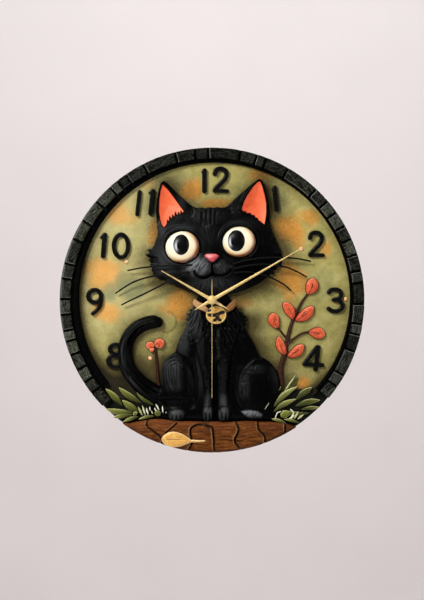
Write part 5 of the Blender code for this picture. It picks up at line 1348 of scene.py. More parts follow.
def build_ledge():
    arcp = [(152.3 * sin(a), 152.3 * cos(a)) for a in np.linspace(atan2(84.3, -126.8), atan2(-89.4, -123.2) + 2 * pi, 60)[1:-1]]
    poly = LEDGE_TOP + arcp
    g = Grid(-92, 87, -154, -117, 0.42)
    X, Z = g.X, g.Z
    g.F = sd_poly(X, Z, poly)
    g.F = np.minimum(g.F, RIM - 0.03 - np.hypot(X, Z))
    g.at["crack"] = np.zeros_like(X)
    g.at["lip"] = np.zeros_like(X)
    # painted highlight, lighter toward the top edge
    g.at["up"] = sstep(-136, -120, Z + 0.00045 * X * X)
    # painted shade, darker toward both ends and along the bottom edge
    g.at["ledge_shade"] = np.clip(0.55 * sstep(30, 84, X) + 0.25 * sstep(-60, -88, X) + 0.60 * sstep(4.2, 0.6, g.F) * sstep(-124, -130, Z), 0, 1)
    w = 1.1 * np.sin(X / 9.0) + 0.7 * np.sin(X / 4.1 + 1)
    g.H = 35.2 + rounded(g.F, 3.6, 3.7) + 0.28 * np.sin((Z + w) * 1.9 + 0.25 * g.noise(5, 71)) * sstep(0, 3, g.F)
    rng = np.random.default_rng(72)
    for k in range(210):       # grain
        x, z = rng.uniform(-88, 84), rng.uniform(-151, -121)
        L = rng.uniform(6, 22)
        pts = [(x + L * t, z + 0.7 * sin((x + L * t) / 7.0) * 1.0 + rng.normal(0, 0.12)) for t in np.linspace(0, 1, 6)]
        g.line(pts, rng.uniform(0.3, 0.6), -rng.uniform(0.12, 0.5), 0.5)
    for pts, wd in CRACKS:
        P = spline(pts, 7)
        P = P + np.stack([0.10 * np.sin(np.arange(len(P)) * 1.7), 0.08 * np.cos(np.arange(len(P)) * 2.3)], 1)
        g.line(P, wd * 1.30, -3.4, 0.15, "crack", 3.5)
        # a pale raised lip beside each crack: painted highlight on the crack's rim
        g.line(P + np.array([-wd * 1.7, 0.5]), wd * 0.8, 0.35, 0.4, "lip")
    for x in (-74, -44, -12, 12, 37, 62):     # worn scallops along the top edge
        g.H -= 0.9 * np.exp(-((X - x) / 7.0) ** 2) * sstep(4.5, 0.5, g.F)
    g.H += 0.10 * g.noise(2, 73)
    g.H = np.clip(g.H, 30, 39.4)
    m = Mat("ledge_redbrown_wood")
    st = m.stretched(0.22, 1.0, 1.0)
    n1 = m.noise(2.6, 5, 0.65, st, 0.6)
    n2 = m.noise(0.8, 4, 0.6, st)
    col = m.ramp(m.range(n1, 0.28, 0.72), [(0, (0.026, 0.006, 0.0006)), (0.5, (0.084, 0.022, 0.0022)), (1, (0.18, 0.062, 0.010))])
    col = m.mix(m.math("MULTIPLY", m.range(n2, 0.5, 0.72), 0.4), col, (0.24, 0.095, 0.028))
    # painted highlight along the top and on the crack rims, painted shade at the ends and the bottom edge
    col = m.mix(m.math("MULTIPLY", m.attr("up"), 0.25), col, (0.20, 0.062, 0.022))
    col = m.mix(m.math("MULTIPLY", m.attr("ledge_shade"), 0.75), col, (0.012, 0.004, 0.001))
    col = m.mix(m.math("MULTIPLY", m.attr("lip"), 0.65), col, (0.42, 0.22, 0.10))
    col = m.mix(m.math("MULTIPLY", m.attr("crack"), 1.0, clamp=True), col, (0.006, 0.004, 0.003))
    m.done(col, m.range(n1, 0.3, 0.7, 0.45, 0.65), m.bump(m.math("ADD", n1, m.math("MULTIPLY", n2, 0.7)), 0.15), 0.07)
    use(relief("ledge_wood", g, 25.4), m.m, "ledge", "ledge")


build_ledge()


# ============================================================ plants
def leaf_outline(p0, p1, width, bend=0.0, fat=0.5, n=12, power=0.8):
    """Outline from base p0 to tip p1; fat moves the widest place along the leaf."""
    p0, p1 = np.array(p0, float), np.array(p1, float)
    d = p1 - p0
    L = hypot(*d)
    t_ = d / L
    nr = np.array([-t_[1], t_[0]])
    up, dn = [], []
    for k in range(n + 1):
        t = k / n
        s = t ** (0.69 / max(-np.log2(fat) * 0.69, 0.2)) if fat != 0.5 else t
        w = 0.5 * width * max(sin(pi * s), 0.0) ** power + 0.12
        c = p0 + d * t + nr * bend * sin(pi * t)
        up.append(c + nr * w)
        dn.append(c - nr * w)
    return np.array(up + dn[::-1])


def layered(name, parts, box, pitch, back, extra=None):
    """Overlapping leaves and stems in one casting. Each part: (field, base, rise, edge_r, tone, axis line or None)."""
    g = Grid(*box, pitch)
    X, Z = g.X, g.Z
    top = np.full(X.shape, -1e3)
    F = np.full(X.shape, -1e3)
    for key in ("edge", "tone", "mid", "leaf_shade"):
        g.at[key] = np.zeros_like(X)
    g.at["mid"][:] = 9
    for field, base, rise, er, tone, axis in parts:
        f = field(X, Z)
        h = base + rounded(f, er, rise)
        if axis is not None:
            d, s, side = run_along(X, Z, axis)
            h = h - 0.55 * np.exp(-(d / 0.45) ** 2) * sstep(0.02, 0.2, s) * sstep(1.0, 0.85, s)
        m = (f > 0) & (h > top)
        top = np.where(m, h, top)
        g.at["edge"] = np.where(m, np.clip(f, 0, 6), g.at["edge"])
        g.at["tone"] = np.where(m, tone, g.at["tone"])
        if axis is not None:
            g.at["mid"] = np.where(m, np.clip(d + 2.0 * sstep(0.62, 0.75, s), 0, 9), g.at["mid"])
            # painted shade: darker on each leaf's lower side and toward its base
            down = np.sign(axis[-1][0] - axis[0][0] + 1e-6) * -side
            g.at["leaf_shade"] = np.where(m, np.clip(0.34 * sstep(-1.2, 1.2, down) + 0.95 * sstep(0.80, 0.0, s), 0, 1), g.at["leaf_shade"])
        else:
            g.at["mid"] = np.where(m, 9, g.at["mid"])
            g.at["leaf_shade"] = np.where(m, 0.0, g.at["leaf_shade"])
        F = np.maximum(F, f)
    g.F = F
    g.H = np.where(top > -100, top, back + 1.0)
    if extra:
        extra(g)
    return relief(name, g, back, smooth=50)


def leaf_part(p0, p1, w, bend=0.0, base=29.0, rise=2.4, tone=0.5, er=None, mid=True, fat=0.5, power=0.8):
    P = leaf_outline(p0, p1, w, bend, fat, power=power)
    n = len(P) // 2
    axis = 0.5 * (P[:n] + P[::-1][:n])
    return (lambda X, Z: sd_poly(X, Z, P), base, rise, er or w * 0.45, tone, axis if mid else None)


def stem_part(pts, radii, base=28.6, rise=2.0, tone=0.0, per=5):
    P = spline(pts, per)
    r = np.interp(np.linspace(0, 1, len(P)), np.linspace(0, 1, len(radii)), radii)
    return (lambda X, Z: sd_line(X, Z, P, list(r)), base, rise, float(max(radii)), tone, None)


def coral_material():
    m = Mat("plant_coral_paint")
    n = m.noise(3, 4, 0.6)
    n2 = m.noise(0.9, 3, 0.6)
    coral = m.ramp(m.range(n, 0.3, 0.7), [(0, (0.40, 0.052, 0.018)), (0.6, (0.56, 0.092, 0.034)), (1, (0.68, 0.170, 0.075))])
    bark = m.ramp(m.range(n, 0.3, 0.7), [(0, (0.010, 0.0028, 0.0016)), (1, (0.050, 0.014, 0.007))])
    t = m.range(m.attr("tone"), 0.35, 0.45)
    # painted shade toward each leaf's base and lower side; painted highlight just inside the edges
    coral = m.mix(m.math("MULTIPLY", m.attr("leaf_shade"), 0.30), coral, (0.34, 0.040, 0.014))
    coral = m.mix(m.math("MULTIPLY", m.math("MULTIPLY", m.range(m.attr("edge"), 2.2, 1.1), m.range(m.attr("leaf_shade"), 0.5, 0.0)), 0.55), coral, (0.84, 0.33, 0.17))
    edge = m.mix(m.range(m.attr("edge"), 0.95, 0.35), coral, (0.10, 0.012, 0.008))
    edge = m.mix(m.math("MULTIPLY", m.range(m.attr("mid"), 0.55, 0.15), 0.9), edge, (0.07, 0.01, 0.007))
    col = m.mix(t, bark, edge)
    m.done(col, m.range(n2, 0.3, 0.7, 0.40, 0.58), m.bump(n2, 0.07), 0.14)
    return m.m


CORAL = coral_material()


def build_branch():
    def L(p0, p1, w, *a, **k):
        return leaf_part(p0, p1, w * 1.10, *a, power=0.58, **k)

    parts = [stem_part([(69.5, -84), (68.6, -76), (69.3, -65.8), (72.6, -55.4), (74.5, -45.9), (76.3, -36.3), (78.9, -26.8), (82.3, -17.3), (86.7, -8.6),
                        (91, -0.8), (97.6, 8.0)], [2.9, 2.7, 2.5, 2.2, 1.9, 1.6, 1.3, 1.0]),
             stem_part([(76.3, -44.1), (79.6, -41), (83.2, -38.1), (90.1, -33.7), (99.5, -31.4)], [1.5, 1.2, 0.8]),
             stem_part([(75.9, -39.0), (73.7, -37.2), (69.3, -32), (65.4, -27.2)], [1.5, 1.1, 0.8]),
             L((96.0, 5.0), (102.6, 22.6), 12.2, -1.0, 29.4, 3.2, 0.6, fat=0.52), L((82.0, -19.5), (71.2, -1.6), 10.0, -1.2, 29.6, 3.4, 0.6),
             L((83.0, -21.2), (102.4, -6.4), 10.5, -1.4, 29.2, 3.2, 0.6, fat=0.55), L((65.8, -29.2), (59.8, -12.4), 11.0, 0.6, 29.4, 3.4, 0.6, fat=0.55),
             L((73.9, -55.4), (66.2, -35.8), 8.8, 1.4, 29.4, 3.2, 0.6), L((75.2, -57.4), (92.6, -44.6), 10.0, -1.2, 29.6, 3.4, 0.6, fat=0.55),
             L((96.4, -32.2), (114.2, -35.4), 11.0, 0.8, 29.2, 3.2, 0.6, fat=0.55)]

    def veins(g):
        for q in ([(99.5, 12), (101.4, 14), (100.0, 16.5)], [(89, -15), (91.5, -15.2), (92.6, -12.4), (95, -11.6)], [(63.0, -22), (64.4, -20.2), (62.0, -17.8)],
                  [(80.5, -52.6), (83.2, -52.8), (84.4, -50.2), (87, -49.6)], [(102, -33), (104.6, -35), (107.6, -33.6)]):
            g.line(spline(q, 4), 0.35, -0.5, 0.3)
            d, s, _ = run_along(g.X, g.Z, spline(q, 4))
            g.at["mid"] = np.minimum(g.at["mid"], d)

    use(layered("branch_sprig", parts, (54, 118, -88, 26), 0.34, FACE, veins), CORAL, "branch", "branch")
    fl = [stem_part([(-56.9, -46.5), (-56.2, -55), (-55.2, -66), (-54.4, -76), (-53.4, -87)], [1.35, 1.4, 1.5, 1.7]),
          (lambda X, Z: sd_ellipse(X, Z, -61.9, -45.6, 4.7, 4.4), 29.8, 3.2, 3.4, 0.6, None),
          (lambda X, Z: sd_ellipse(X, Z, -60.2, -49.9, 2.9, 2.3, 20), 30.2, 2.4, 2.2, 0.6, None),
          (lambda X, Z: sd_ellipse(X, Z, -52.6, -43.4, 5.6, 5.3, 30), 29.9, 3.5, 3.8, 0.6, None)]

    def curl(g):
        for P in (spline([(-57.0, -48.2), (-56.4, -45.2), (-54.2, -43.8), (-52.4, -45.2), (-53.0, -47.4), (-54.6, -47.6)], 5),
                  spline([(-58.0, -47.6), (-60.0, -47.9), (-61.4, -46.9)], 5)):
            g.line(P, 0.5, -1.0, 0.2)
            d, s_, _ = run_along(g.X, g.Z, P)
            g.at["mid"] = np.minimum(g.at["mid"], d + 0.12)

    use(layered("flower_sprig", fl, (-70, -44, -90, -35), 0.28, FACE, curl), CORAL, "flower", "flower")


build_branch()


def leaf_material():
    m = Mat("plant_olive_paint")
    n = m.noise(4, 4, 0.6)
    n2 = m.noise(0.9, 3, 0.6)
    t = m.attr("tone")
    green = m.ramp(t, [(0, (0.0030, 0.0036, 0.0018)), (0.12, (0.012, 0.016, 0.005)), (0.3, (0.040, 0.050, 0.006)), (0.6, (0.150, 0.158, 0.018)), (0.85, (0.32, 0.33, 0.105)), (1, (0.80, 0.82, 0.70))])
    leafy = m.math("MULTIPLY", m.range(t, 0.15, 0.35), m.range(t, 0.95, 0.86))
    green = m.mix(m.math("MULTIPLY", m.math("MULTIPLY", m.range(n, 0.4, 0.7), 0.35), leafy), green, (0.20, 0.22, 0.055))
    # painted highlight pale along the leaf edges, fading where the painted shade lies; darker away from the edges, and
    # painted shade on the lower side and toward the base
    green = m.mix(m.math("MULTIPLY", m.range(m.attr("edge"), 0.7, 2.6), m.math("MULTIPLY", leafy, 0.30)), green, (0.022, 0.028, 0.006))
    green = m.mix(m.math("MULTIPLY", m.attr("leaf_shade"), m.math("MULTIPLY", leafy, 0.86), clamp=True), green, (0.012, 0.015, 0.002))
    shown = m.math("MULTIPLY", leafy, m.range(m.attr("leaf_shade"), 0.75, 0.25, 0.12, 0.9))
    col = m.mix(m.math("MULTIPLY", m.range(m.attr("edge"), 0.75, 0.25), shown), green, (0.52, 0.50, 0.26))
    col = m.mix(m.math("MULTIPLY", m.range(m.attr("mid"), 0.45, 0.1), 0.55), col, (0.05, 0.07, 0.02))
    m.done(col, m.range(n2, 0.3, 0.7, 0.42, 0.6), m.bump(n2, 0.07), 0.10)
    return m.m


LEAF = leaf_material()


def build_leaves():
    def L(p0, p1, w, *a, **k):
        return leaf_part(p0, p1, w * 0.88, *a, **k)

    def blade(p0, p1, w, tone, base=30.6, bend=0.0):
        return leaf_part(p0, p1, w * 0.82, bend, base, 1.8, tone, None, False)

    # near-black backing between the leaves: painted shade
    left = [(lambda X, Z: sd_poly(X, Z, [(-105, -107), (-99, -99.5), (-92, -96), (-82, -95.5), (-72, -97), (-63, -101), (-55, -104), (-52, -110), (-52, -121), (-60, -119.8),
                                        (-74, -122.2), (-86, -123.6), (-92, -121), (-99, -115)]), 28.4, 1.2, 3, 0.0, None),
            L((-89.4, -106.2), (-106.6, -88.8), 6.6, -0.4, 30.6, 3.2, 0.60), L((-70.4, -103.4), (-93.6, -87.6), 6.6, 1.2, 29.9, 3.2, 0.55),
            L((-57.6, -106.0), (-75.6, -92.2), 5.0, 1.0, 30.2, 3.0, 0.42), L((-72.6, -112.6), (-90.0, -100.2), 7.6, 0.6, 30.8, 3.4, 0.62),
            L((-77.6, -112.4), (-106.2, -109.2), 7.0, 1.6, 30.4, 3.4, 0.66), L((-78.6, -114.8), (-99.0, -118.0), 5.4, -1.0, 31.2, 3.0, 0.62),
            L((-73.6, -116.6), (-89.0, -122.2), 4.4, -0.6, 31.8, 2.8, 0.66), L((-57.0, -116.2), (-73.6, -119.4), 3.6, -0.8, 32.0, 2.6, 0.62),
            L((-74.6, -112.0), (-79.0, -115.2), 4.2, 0.0, 32.4, 2.2, 0.5, mid=False),
            (lambda X, Z: sd_ellipse(X, Z, -54.2, -113.4, 3.2, 3.0), 32.2, 2.6, 2.6, 0.34, None)]
    for p0, p1, w, t in (((-66.4, -115.6), (-69.8, -105.2), 2.3, .93), ((-69.4, -115.8), (-73.9, -106.6), 2.5, .85), ((-63.4, -115.2), (-66.0, -107.2), 2.2, .95),
                         ((-61.6, -111.0), (-62.5, -106.2), 1.5, 1.0), ((-55.2, -111.8), (-57.8, -107.6), 1.6, .95), ((-52.5, -110.4), (-56.4, -103.6), 1.7, 1.0),
                         ((-48.9, -113.4), (-49.7, -105.2), 1.6, 1.0), ((-59.2, -114.2), (-60.6, -110.4), 1.6, .9), ((-45.2, -112.6), (-46.6, -112.2), 1.3, 1.0)):
        left.append(blade(p0, p1, w, t, 33.4))
    ob = layered("leaf_clump_left", left, (-110, -43, -125, -85), 0.3, FACE)
    use(ob, LEAF, "leaves", "leaves_left")
    # near-black backing between the leaves: painted shade
    right = [(lambda X, Z: sd_poly(X, Z, [(57, -104), (64, -98), (74, -94.5), (83, -90.5), (92, -89), (99, -92), (104, -98), (107, -103), (105, -109), (98, -116), (90, -122), (84, -125.4), (74, -122.8),
                                         (60, -120.8), (52, -118)]), 28.4, 1.2, 3, 0.0, None),
             L((75.4, -90.4), (86.0, -77.2), 6.4, 0.3, 28.6, 1.6, 0.24, mid=False), L((72.8, -91.2), (83.4, -76.0), 1.5, 0.0, 29.4, 1.4, 0.88, mid=False),
             L((60.0, -102.0), (69.2, -86.6), 5.4, 1.0, 30.0, 3.0, 0.32), L((59.0, -110.4), (85.6, -86.6), 6.4, 2.6, 30.6, 3.4, 0.74),
             L((60.8, -112.4), (84.2, -99.2), 6.0, 1.6, 31.2, 3.4, 0.68), L((84.0, -100.2), (100.4, -87.4), 6.6, 0.8, 29.6, 3.0, 0.34),
             L((83.2, -106.6), (108.4, -100.2), 6.4, 1.2, 30.0, 3.2, 0.40), L((89.0, -109.8), (107.8, -107.6), 4.0, 0.6, 30.2, 2.8, 0.46),
             L((97.4, -113.0), (69.6, -110.4), 5.0, 2.4, 31.0, 3.0, 0.36), L((74.8, -124.2), (59.2, -118.8), 4.0, -0.8, 32.0, 2.8, 0.66),
             L((87.6, -123.0), (71.6, -119.2), 3.6, -0.6, 32.0, 2.8, 0.62),
             (lambda X, Z: sd_ellipse(X, Z, 73.2, -114.2, 5.0, 3.6, 20), 32.0, 3.0, 2.8, 0.55, None),
             stem_part([(68.4, -111.6), (65.2, -113.2), (63.4, -117.8)], [0.7, 0.6], 33.2, 1.2, 0.95),
             stem_part([(78.6, -109.6), (81.2, -112.0), (80.8, -115.4), (77.8, -118.4)], [0.7, 0.8, 0.6], 33.2, 1.2, 0.95),
             blade((82.0, -119.0), (86.6, -111.6), 2.2, .88, 33.2), blade((85.2, -119.4), (91.6, -114.4), 2.2, .88, 33.2), blade((78.6, -119.4), (82.6, -114.8), 1.6, .85, 33.0),
             blade((52.2, -110.2), (57.9, -101.0), 1.15, 0.90, 33.4)]
    ob = layered("leaf_clump_right", right, (50, 110, -127, -75), 0.3, FACE)
    use(ob, LEAF, "leaves", "leaves_right")
    m = Mat("gold_leaf_paint")
    n = m.noise(4, 4, 0.6)
    col = m.ramp(m.range(n, 0.3, 0.7), [(0, (0.52, 0.26, 0.055)), (0.6, (0.66, 0.36, 0.085)), (1, (0.76, 0.48, 0.15))])
    col = m.mix(m.range(m.attr("edge"), 0.7, 0.2), col, (0.86, 0.70, 0.42))
    col = m.mix(m.math("MULTIPLY", m.range(m.attr("mid"), 0.5, 0.1), 0.8), col, (0.12, 0.055, 0.02))
    m.done(col, m.range(m.noise(1.5), 0.3, 0.7, 0.34, 0.5), m.bump(m.noise(0.9, 3), 0.06))
    m.b.inputs["Metallic"].default_value = 0.2
    blade_o = spline([(-20.6, -140.2), (-26, -135.4), (-33, -132.2), (-41, -131.3), (-47.4, -134.4), (-50.2, -138.8), (-47.0, -143.6), (-40, -146.4), (-32, -145.8), (-25, -143.4)], 6, True)
    parts = [(lambda X, Z: sd_poly(X, Z, blade_o), 39.0, 2.0, 3.0, 0.6, spline([(-45, -138.6), (-36, -138.8), (-25, -139.6)], 6)),
             stem_part([(-24, -140.2), (-16, -140.6), (-7.4, -140.4)], [1.5, 1.1, 0.7], 39.0, 1.4, 0.6)]
    use(layered("ledge_leaf_gold", parts, (-52, -5, -149, -129), 0.26, 38.3), m.m, "ledge_leaf", "ledge_leaf")


build_leaves()


# ============================================================ hands
def gold_material():
    m = Mat("hand_pale_gold")
    st = m.stretched(1, 1, 1)
    n = m.noise(2.5, 4, 0.6)
    n2 = m.noise(0.5, 3, 0.6)
    col = m.ramp(m.range(n, 0.3, 0.7), [(0, (0.48, 0.31, 0.10)), (0.6, (0.62, 0.45, 0.175)), (1, (0.72, 0.57, 0.27))])
    m.done(col, m.range(n2, 0.3, 0.7, 0.42, 0.55), m.bump(n2, 0.02), 0.25)
    m.b.inputs["Metallic"].default_value = 0.15
    return m.m


GOLD = gold_material()


def blade_mesh(bearing, stations, h0, h1, ridge):
    """Tapered bar with a ridge along its front: stations are (distance, width)."""
    ux, uz = sin(radians(bearing)), cos(radians(bearing))
    nx, nz = -uz, ux
    co, faces = [], []
    for s, w in stations:
        rr = ridge * min(1.0, w / 3.0)
        for a, h in ((-0.5, h0), (0.5, h0), (0.5, h0 + 0.45 * (h1 - h0)), (0.30, h1 - 0.12), (0.0, h1 + rr), (-0.30, h1 - 0.12), (-0.5, h0 + 0.45 * (h1 - h0))):
            co.append((ux * s + nx * a * w, uz * s + nz * a * w, h))
    k = 7
    for i in range(len(stations) - 1):
        for j in range(k):
            q = (j + 1) % k
            faces.append([i * k + j, i * k + q, (i + 1) * k + q, (i + 1) * k + j])
    faces.append(list(range(k)))
    faces.append([(len(stations) - 1) * k + j for j in range(k)][::-1])
    return np.array(co), faces


def raw(co, faces):
    me = bpy.data.meshes.new("raw")
    me.from_pydata([tuple(map(float, v)) for v in co], [], faces)
    bm = bmesh.new()
    bm.from_mesh(me)
    bmesh.ops.recalc_face_normals(bm, faces=bm.faces)
    bm.to_mesh(me)
    bm.free()
    ob = bpy.data.objects.new("raw", me)
    bpy.context.scene.collection.objects.link(ob)
    return ob


def ring_mesh(profile, n=72):
    co, faces, ids = [], [], []
    for r, h in profile:
        if r < 1e-6:
            ids.append([len(co)] * n)
            co.append((0, 0, h))
        else:
            ids.append(list(range(len(co), len(co) + n)))
            co += [(r * cos(2 * pi * k / n), r * sin(2 * pi * k / n), h) for k in range(n)]
    m = len(profile)
    for i in range(m):
        j = (i + 1) % m
        for k in range(n):
            f = [ids[i][k], ids[j][k], ids[j][(k + 1) % n], ids[i][(k + 1) % n]]
            f = [v for q, v in enumerate(f) if v != f[q - 1]]
            if len(set(f)) >= 3:
                faces.append(f)
    return np.array(co, float), faces


def joined(name, shapes, body, mat, slot, nodes, cuts=()):
    """Union of closed shapes in millimetres (x, z, h), placed in the row frame."""
    obs = [raw(c, f) for c, f in shapes]
    cut = [raw(c, f) for c, f in cuts]
    base = obs[0]
    for o, op in [(o, "UNION") for o in obs[1:]] + [(o, "DIFFERENCE") for o in cut]:
        md = base.modifiers.new("b", "BOOLEAN")
        md.operation = op
        md.solver = "EXACT"
        md.object = o
    bpy.context.view_layer.update()
    me = bpy.data.meshes.new_from_object(base.evaluated_get(bpy.context.evaluated_depsgraph_get()))
    for o in obs + cut:
        bpy.data.objects.remove(o, do_unlink=True)
    co = np.array([v.co for v in me.vertices], float).reshape(-1, 3)
    faces = [list(p.vertices) for p in me.polygons]
    bpy.data.meshes.remove(me)
    ob = new_object(name, place(co[:, 0], co[:, 1], co[:, 2]), faces, body, 0)
    fix_normals(ob)
    ob.data.shade_smooth()
    ob.data.set_sharp_from_angle(angle=radians(32))
    return use(ob, mat, slot, *nodes)


def boss(r, bore, h0, h1, round_=0.5):
    return ring_mesh([(bore, h0), (r, h0), (r, h1 - round_), (r - round_ * 0.3, h1 - round_ * 0.3), (r - round_, h1), (bore + 0.3, h1), (bore, h1 - 0.3)])


def build_hands():
    joined("hour_hand_gold", [blade_mesh(300.0, [(-19.8, 0.4), (-16, 1.2), (-10, 2.4), (-4, 3.0), (4, 3.2), (14, 2.7), (34, 1.8), (50, 1.1), (57.4, 0.8), (58.0, 0.4)], 43.2, 44.0, 0.45),
                              boss(4.6, 2.8, 43.1, 44.5)], "hour_hand", GOLD, "hands", ["hour_hand"],
           [ring_mesh([(0, 42.0), (2.8, 42.0), (2.8, 46.0), (0, 46.0)])])
    joined("minute_hand_gold", [blade_mesh(60.0, [(-20.2, 0.4), (-16, 1.4), (-10, 2.6), (-4, 3.2), (4, 3.5), (16, 3.0), (48, 2.2), (80, 1.4), (103.2, 0.8), (104.2, 0.4)], 45.3, 46.0, 0.45),
                                boss(4.4, 1.8, 45.2, 46.5)], "minute_hand", GOLD, "hands", ["minute_hand"],
           [ring_mesh([(0, 44.8), (1.8, 44.8), (1.8, 47.0), (0, 47.0)])])
    cap = [(0, 47.3), (3.9, 47.3), (4.1, 47.6), (4.1, 48.2), (3.7, 48.7), (2.9, 49.0), (2.5, 49.35), (1.5, 49.65), (0, 49.78)]
    joined("second_hand_gold", [blade_mesh(180.0, [(-20.4, 0.45), (-16, 0.6), (-10, 0.8), (-3, 1.0), (3, 0.95), (40, 0.64), (80, 0.52), (96.4, 0.6), (97.0, 0.4)], 47.6, 48.1, 0.2),
                                ring_mesh(cap)], "second_hand", GOLD, "hands", ["second_hand"],
           [ring_mesh([(0, 46.0), (0.6, 46.0), (0.6, 48.3), (0, 48.3)])])


build_hands()


# ============================================================ shell, movement and the rest of the frame
def build_shell():
    R = RIM
    prof = [(4.3, 25.1), (R - 0.6, 25.1), (R - 0.1, 24.8), (R, 24.2)] + [(R, h) for h in (18, 12, 6, 1.6)]
    prof += [(R - 1.2 * (1 - cos(t)), 1.4 - 1.4 * sin(t)) for t in np.linspace(0.2, pi / 2, 5)]
    prof += [(R - 4.2, 0.0), (R - 4.8, 0.3), (R - 5.0, 1.0), (R - 5.2, 12), (R - 5.6, 18.2)]
    prof += [(R - 5.6 - 2.4 * (1 - cos(t)), 18.2 + 1.9 * sin(t)) for t in np.linspace(0.3, pi / 2, 5)]
    prof += [(120.5, 20.1), (120.0, 19.5), (117.2, 19.5), (116.7, 20.1), (46.5, 20.1), (46.0, 19.3), (43.4, 19.3), (42.9, 20.1), (4.3, 20.1)]
    ob = lathe("shell_drum", prof, n=240, smooth=35)
    m = Mat("shell_charcoal_resin")
    n1 = m.noise(12, 5, 0.6)
    n2 = m.noise(1.0, 4, 0.65)
    col = m.ramp(m.range(n1, 0.3, 0.7), [(0, (0.0025, 0.0028, 0.0022)), (1, (0.0080, 0.0086, 0.0070))])
    col = m.mix(m.math("MULTIPLY", m.range(n2, 0.58, 0.74), 0.3), col, (0.030, 0.031, 0.027))
    m.done(col, m.range(n2, 0.3, 0.7, 0.5, 0.7), m.bump(m.math("ADD", n2, m.math("MULTIPLY", n1, 0.8)), 0.12), 0.08)
    use(ob, m.m, "shell", "clock_body")


build_shell()


def dress(node, mat):
    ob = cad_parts[node]
    ob.data.materials.clear()
    ob.data.materials.append(mat)


def build_movement():
    case = paint("movement_black_abs", (0.010, 0.010, 0.011), (0.020, 0.020, 0.022), (0.42, 0.58), 0.05, 8, bump_size=0.5)
    for n in ("movement_case", "movement_cover"):
        dress(n, case)
    steel = Mat("steel_brushed")
    st = steel.stretched(0.06, 1, 1)
    n = steel.noise(0.5, 4, 0.6, st)
    steel.done(steel.ramp(steel.range(n, 0.3, 0.7), [(0, (0.42, 0.42, 0.43)), (1, (0.66, 0.66, 0.68))]), steel.range(n, 0.3, 0.7, 0.26, 0.42), steel.bump(n, 0.03))
    steel.b.inputs["Metallic"].default_value = 1.0
    for n in ("hanger", "stator", "battery_contact_positive", "battery_contact_negative"):
        dress(n, steel.m)
    brass = paint("brass_turned", (0.55, 0.37, 0.12), (0.78, 0.57, 0.24), (0.22, 0.36), 0.03, 3, metal=1.0)
    dress("centre_wheel", brass)
    oxide = paint("nut_black_oxide", (0.004, 0.004, 0.0045), (0.012, 0.012, 0.013), (0.3, 0.45), 0.03, 3, metal=0.5)
    for n in ("shaft_nut", "shaft_washer"):
        dress(n, oxide)
    gear = paint("gear_acetal", (0.66, 0.66, 0.62), (0.80, 0.80, 0.76), (0.38, 0.5), 0.03, 4)
    for n in ("second_wheel", "hour_wheel", "third_wheel", "intermediate_wheel", "minute_wheel"):
        dress(n, gear)
    dress("set_knob", paint("knob_amber", (0.50, 0.30, 0.10), (0.72, 0.48, 0.20), (0.35, 0.5), 0.04, 4))
    dress("rotor", paint("magnet_ferrite", (0.04, 0.04, 0.045), (0.10, 0.10, 0.11), (0.4, 0.6), 0.05, 2))
    dress("circuit_board", paint("board_green", (0.012, 0.075, 0.028), (0.03, 0.15, 0.06), (0.35, 0.5), 0.03, 4))
    dress("coil", paint("coil_copper", (0.36, 0.11, 0.04), (0.62, 0.24, 0.10), (0.3, 0.45), 0.08, 1.2, metal=0.7, bump_size=0.25))
    dress("battery", paint("battery_sleeve", (0.012, 0.016, 0.030), (0.03, 0.04, 0.07), (0.25, 0.38), 0.03, 6, coat=0.4))


build_movement()


# ============================================================ stage, light, camera
def plain(name, color, rough):
    m = Mat(name)
    n = m.noise(260, 3, 0.5)
    m.done(m.ramp(m.range(n, 0.3, 0.7), [(0, color), (1, tuple(min(1, c * 1.03) for c in color))]), rough, m.bump(m.noise(3, 2), 0.02))
    return m.m


def stage_plane(name, corners, mat):
    me = bpy.data.meshes.new(name)
    me.from_pydata(corners, [], [(0, 1, 2, 3)])
    me.materials.append(mat)
    ob = bpy.data.objects.new(name, me)
    bpy.context.scene.collection.objects.link(ob)
    return ob


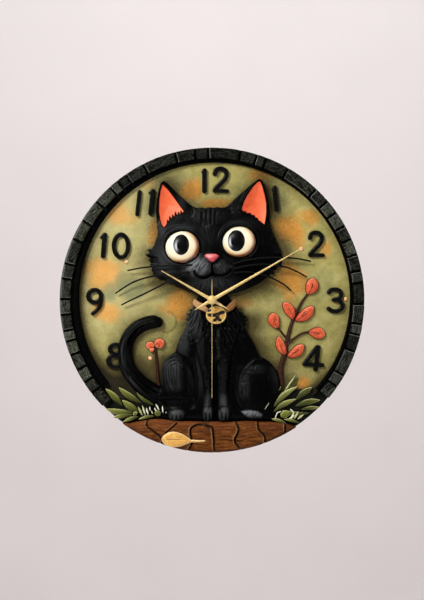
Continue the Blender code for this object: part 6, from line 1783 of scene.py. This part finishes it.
WALL = plain("stage_pale", (0.80, 0.745, 0.745), 0.9)
zf = HUB.z - 1.35
stage_plane("floor", [(-6, -6, zf), (6, -6, zf), (6, 6, zf), (-6, 6, zf)], WALL)
stage_plane("backdrop", [(-6, 3.2, zf - 0.1), (6, 3.2, zf - 0.1), (6, 3.2, 5), (-6, 3.2, 5)], WALL)


def area(name, loc, target, size, power, color=(1, 1, 1)):
    L = bpy.data.lights.new(name, "AREA")
    L.shape = "DISK"
    L.size = size
    L.energy = power
    L.color = color
    ob = bpy.data.objects.new(name, L)
    bpy.context.scene.collection.objects.link(ob)
    ob.location = loc
    ob.rotation_mode = "QUATERNION"
    ob.rotation_quaternion = (Vector(target) - Vector(loc)).to_track_quat("-Z", "Y")
    return ob


T = (0, -0.03, HUB.z)
area("key", (-0.88, -1.30, HUB.z + 0.92), T, 0.60, 38, (1.0, 0.985, 0.95))
area("fill", (1.45, -1.25, HUB.z + 0.35), T, 1.2, 12, (0.97, 0.98, 1.0))
area("low_fill", (-0.5, -1.25, HUB.z - 1.15), T, 1.2, 7)
area("top", (-0.3, -0.55, HUB.z + 1.5), T, 0.9, 6)
area("backdrop_wash", (0, 0.6, HUB.z + 2.6), (0, 3.2, HUB.z), 2.4, 85, (1, 1, 1))
area("back_fill", (0.9, 1.6, HUB.z + 0.9), T, 1.0, 20)
area("back_fill_left", (-1.2, 1.2, HUB.z - 0.2), T, 1.0, 9)

world = bpy.data.worlds.new("soft_grey")
bpy.context.scene.world = world
world.use_nodes = True
bg = world.node_tree.nodes["Background"]
bg.inputs["Color"].default_value = (0.92, 0.90, 0.90, 1)
bg.inputs["Strength"].default_value = 0.10
bpy.context.scene.view_settings.view_transform = "Standard"
bpy.context.scene.view_settings.look = "None"

cam_data = bpy.data.cameras.new("camera")
cam = bpy.data.objects.new("camera", cam_data)
bpy.context.scene.collection.objects.link(cam)
cam_data.lens = 85
cam_data.sensor_width = 36
cam.location = (0.0, -0.033 - 0.6 * 85 / 36, HUB.z)
cam.rotation_mode = "QUATERNION"
cam.rotation_quaternion = Vector((0, 1, 0)).to_track_quat("-Z", "Y")
bpy.context.scene.camera = cam
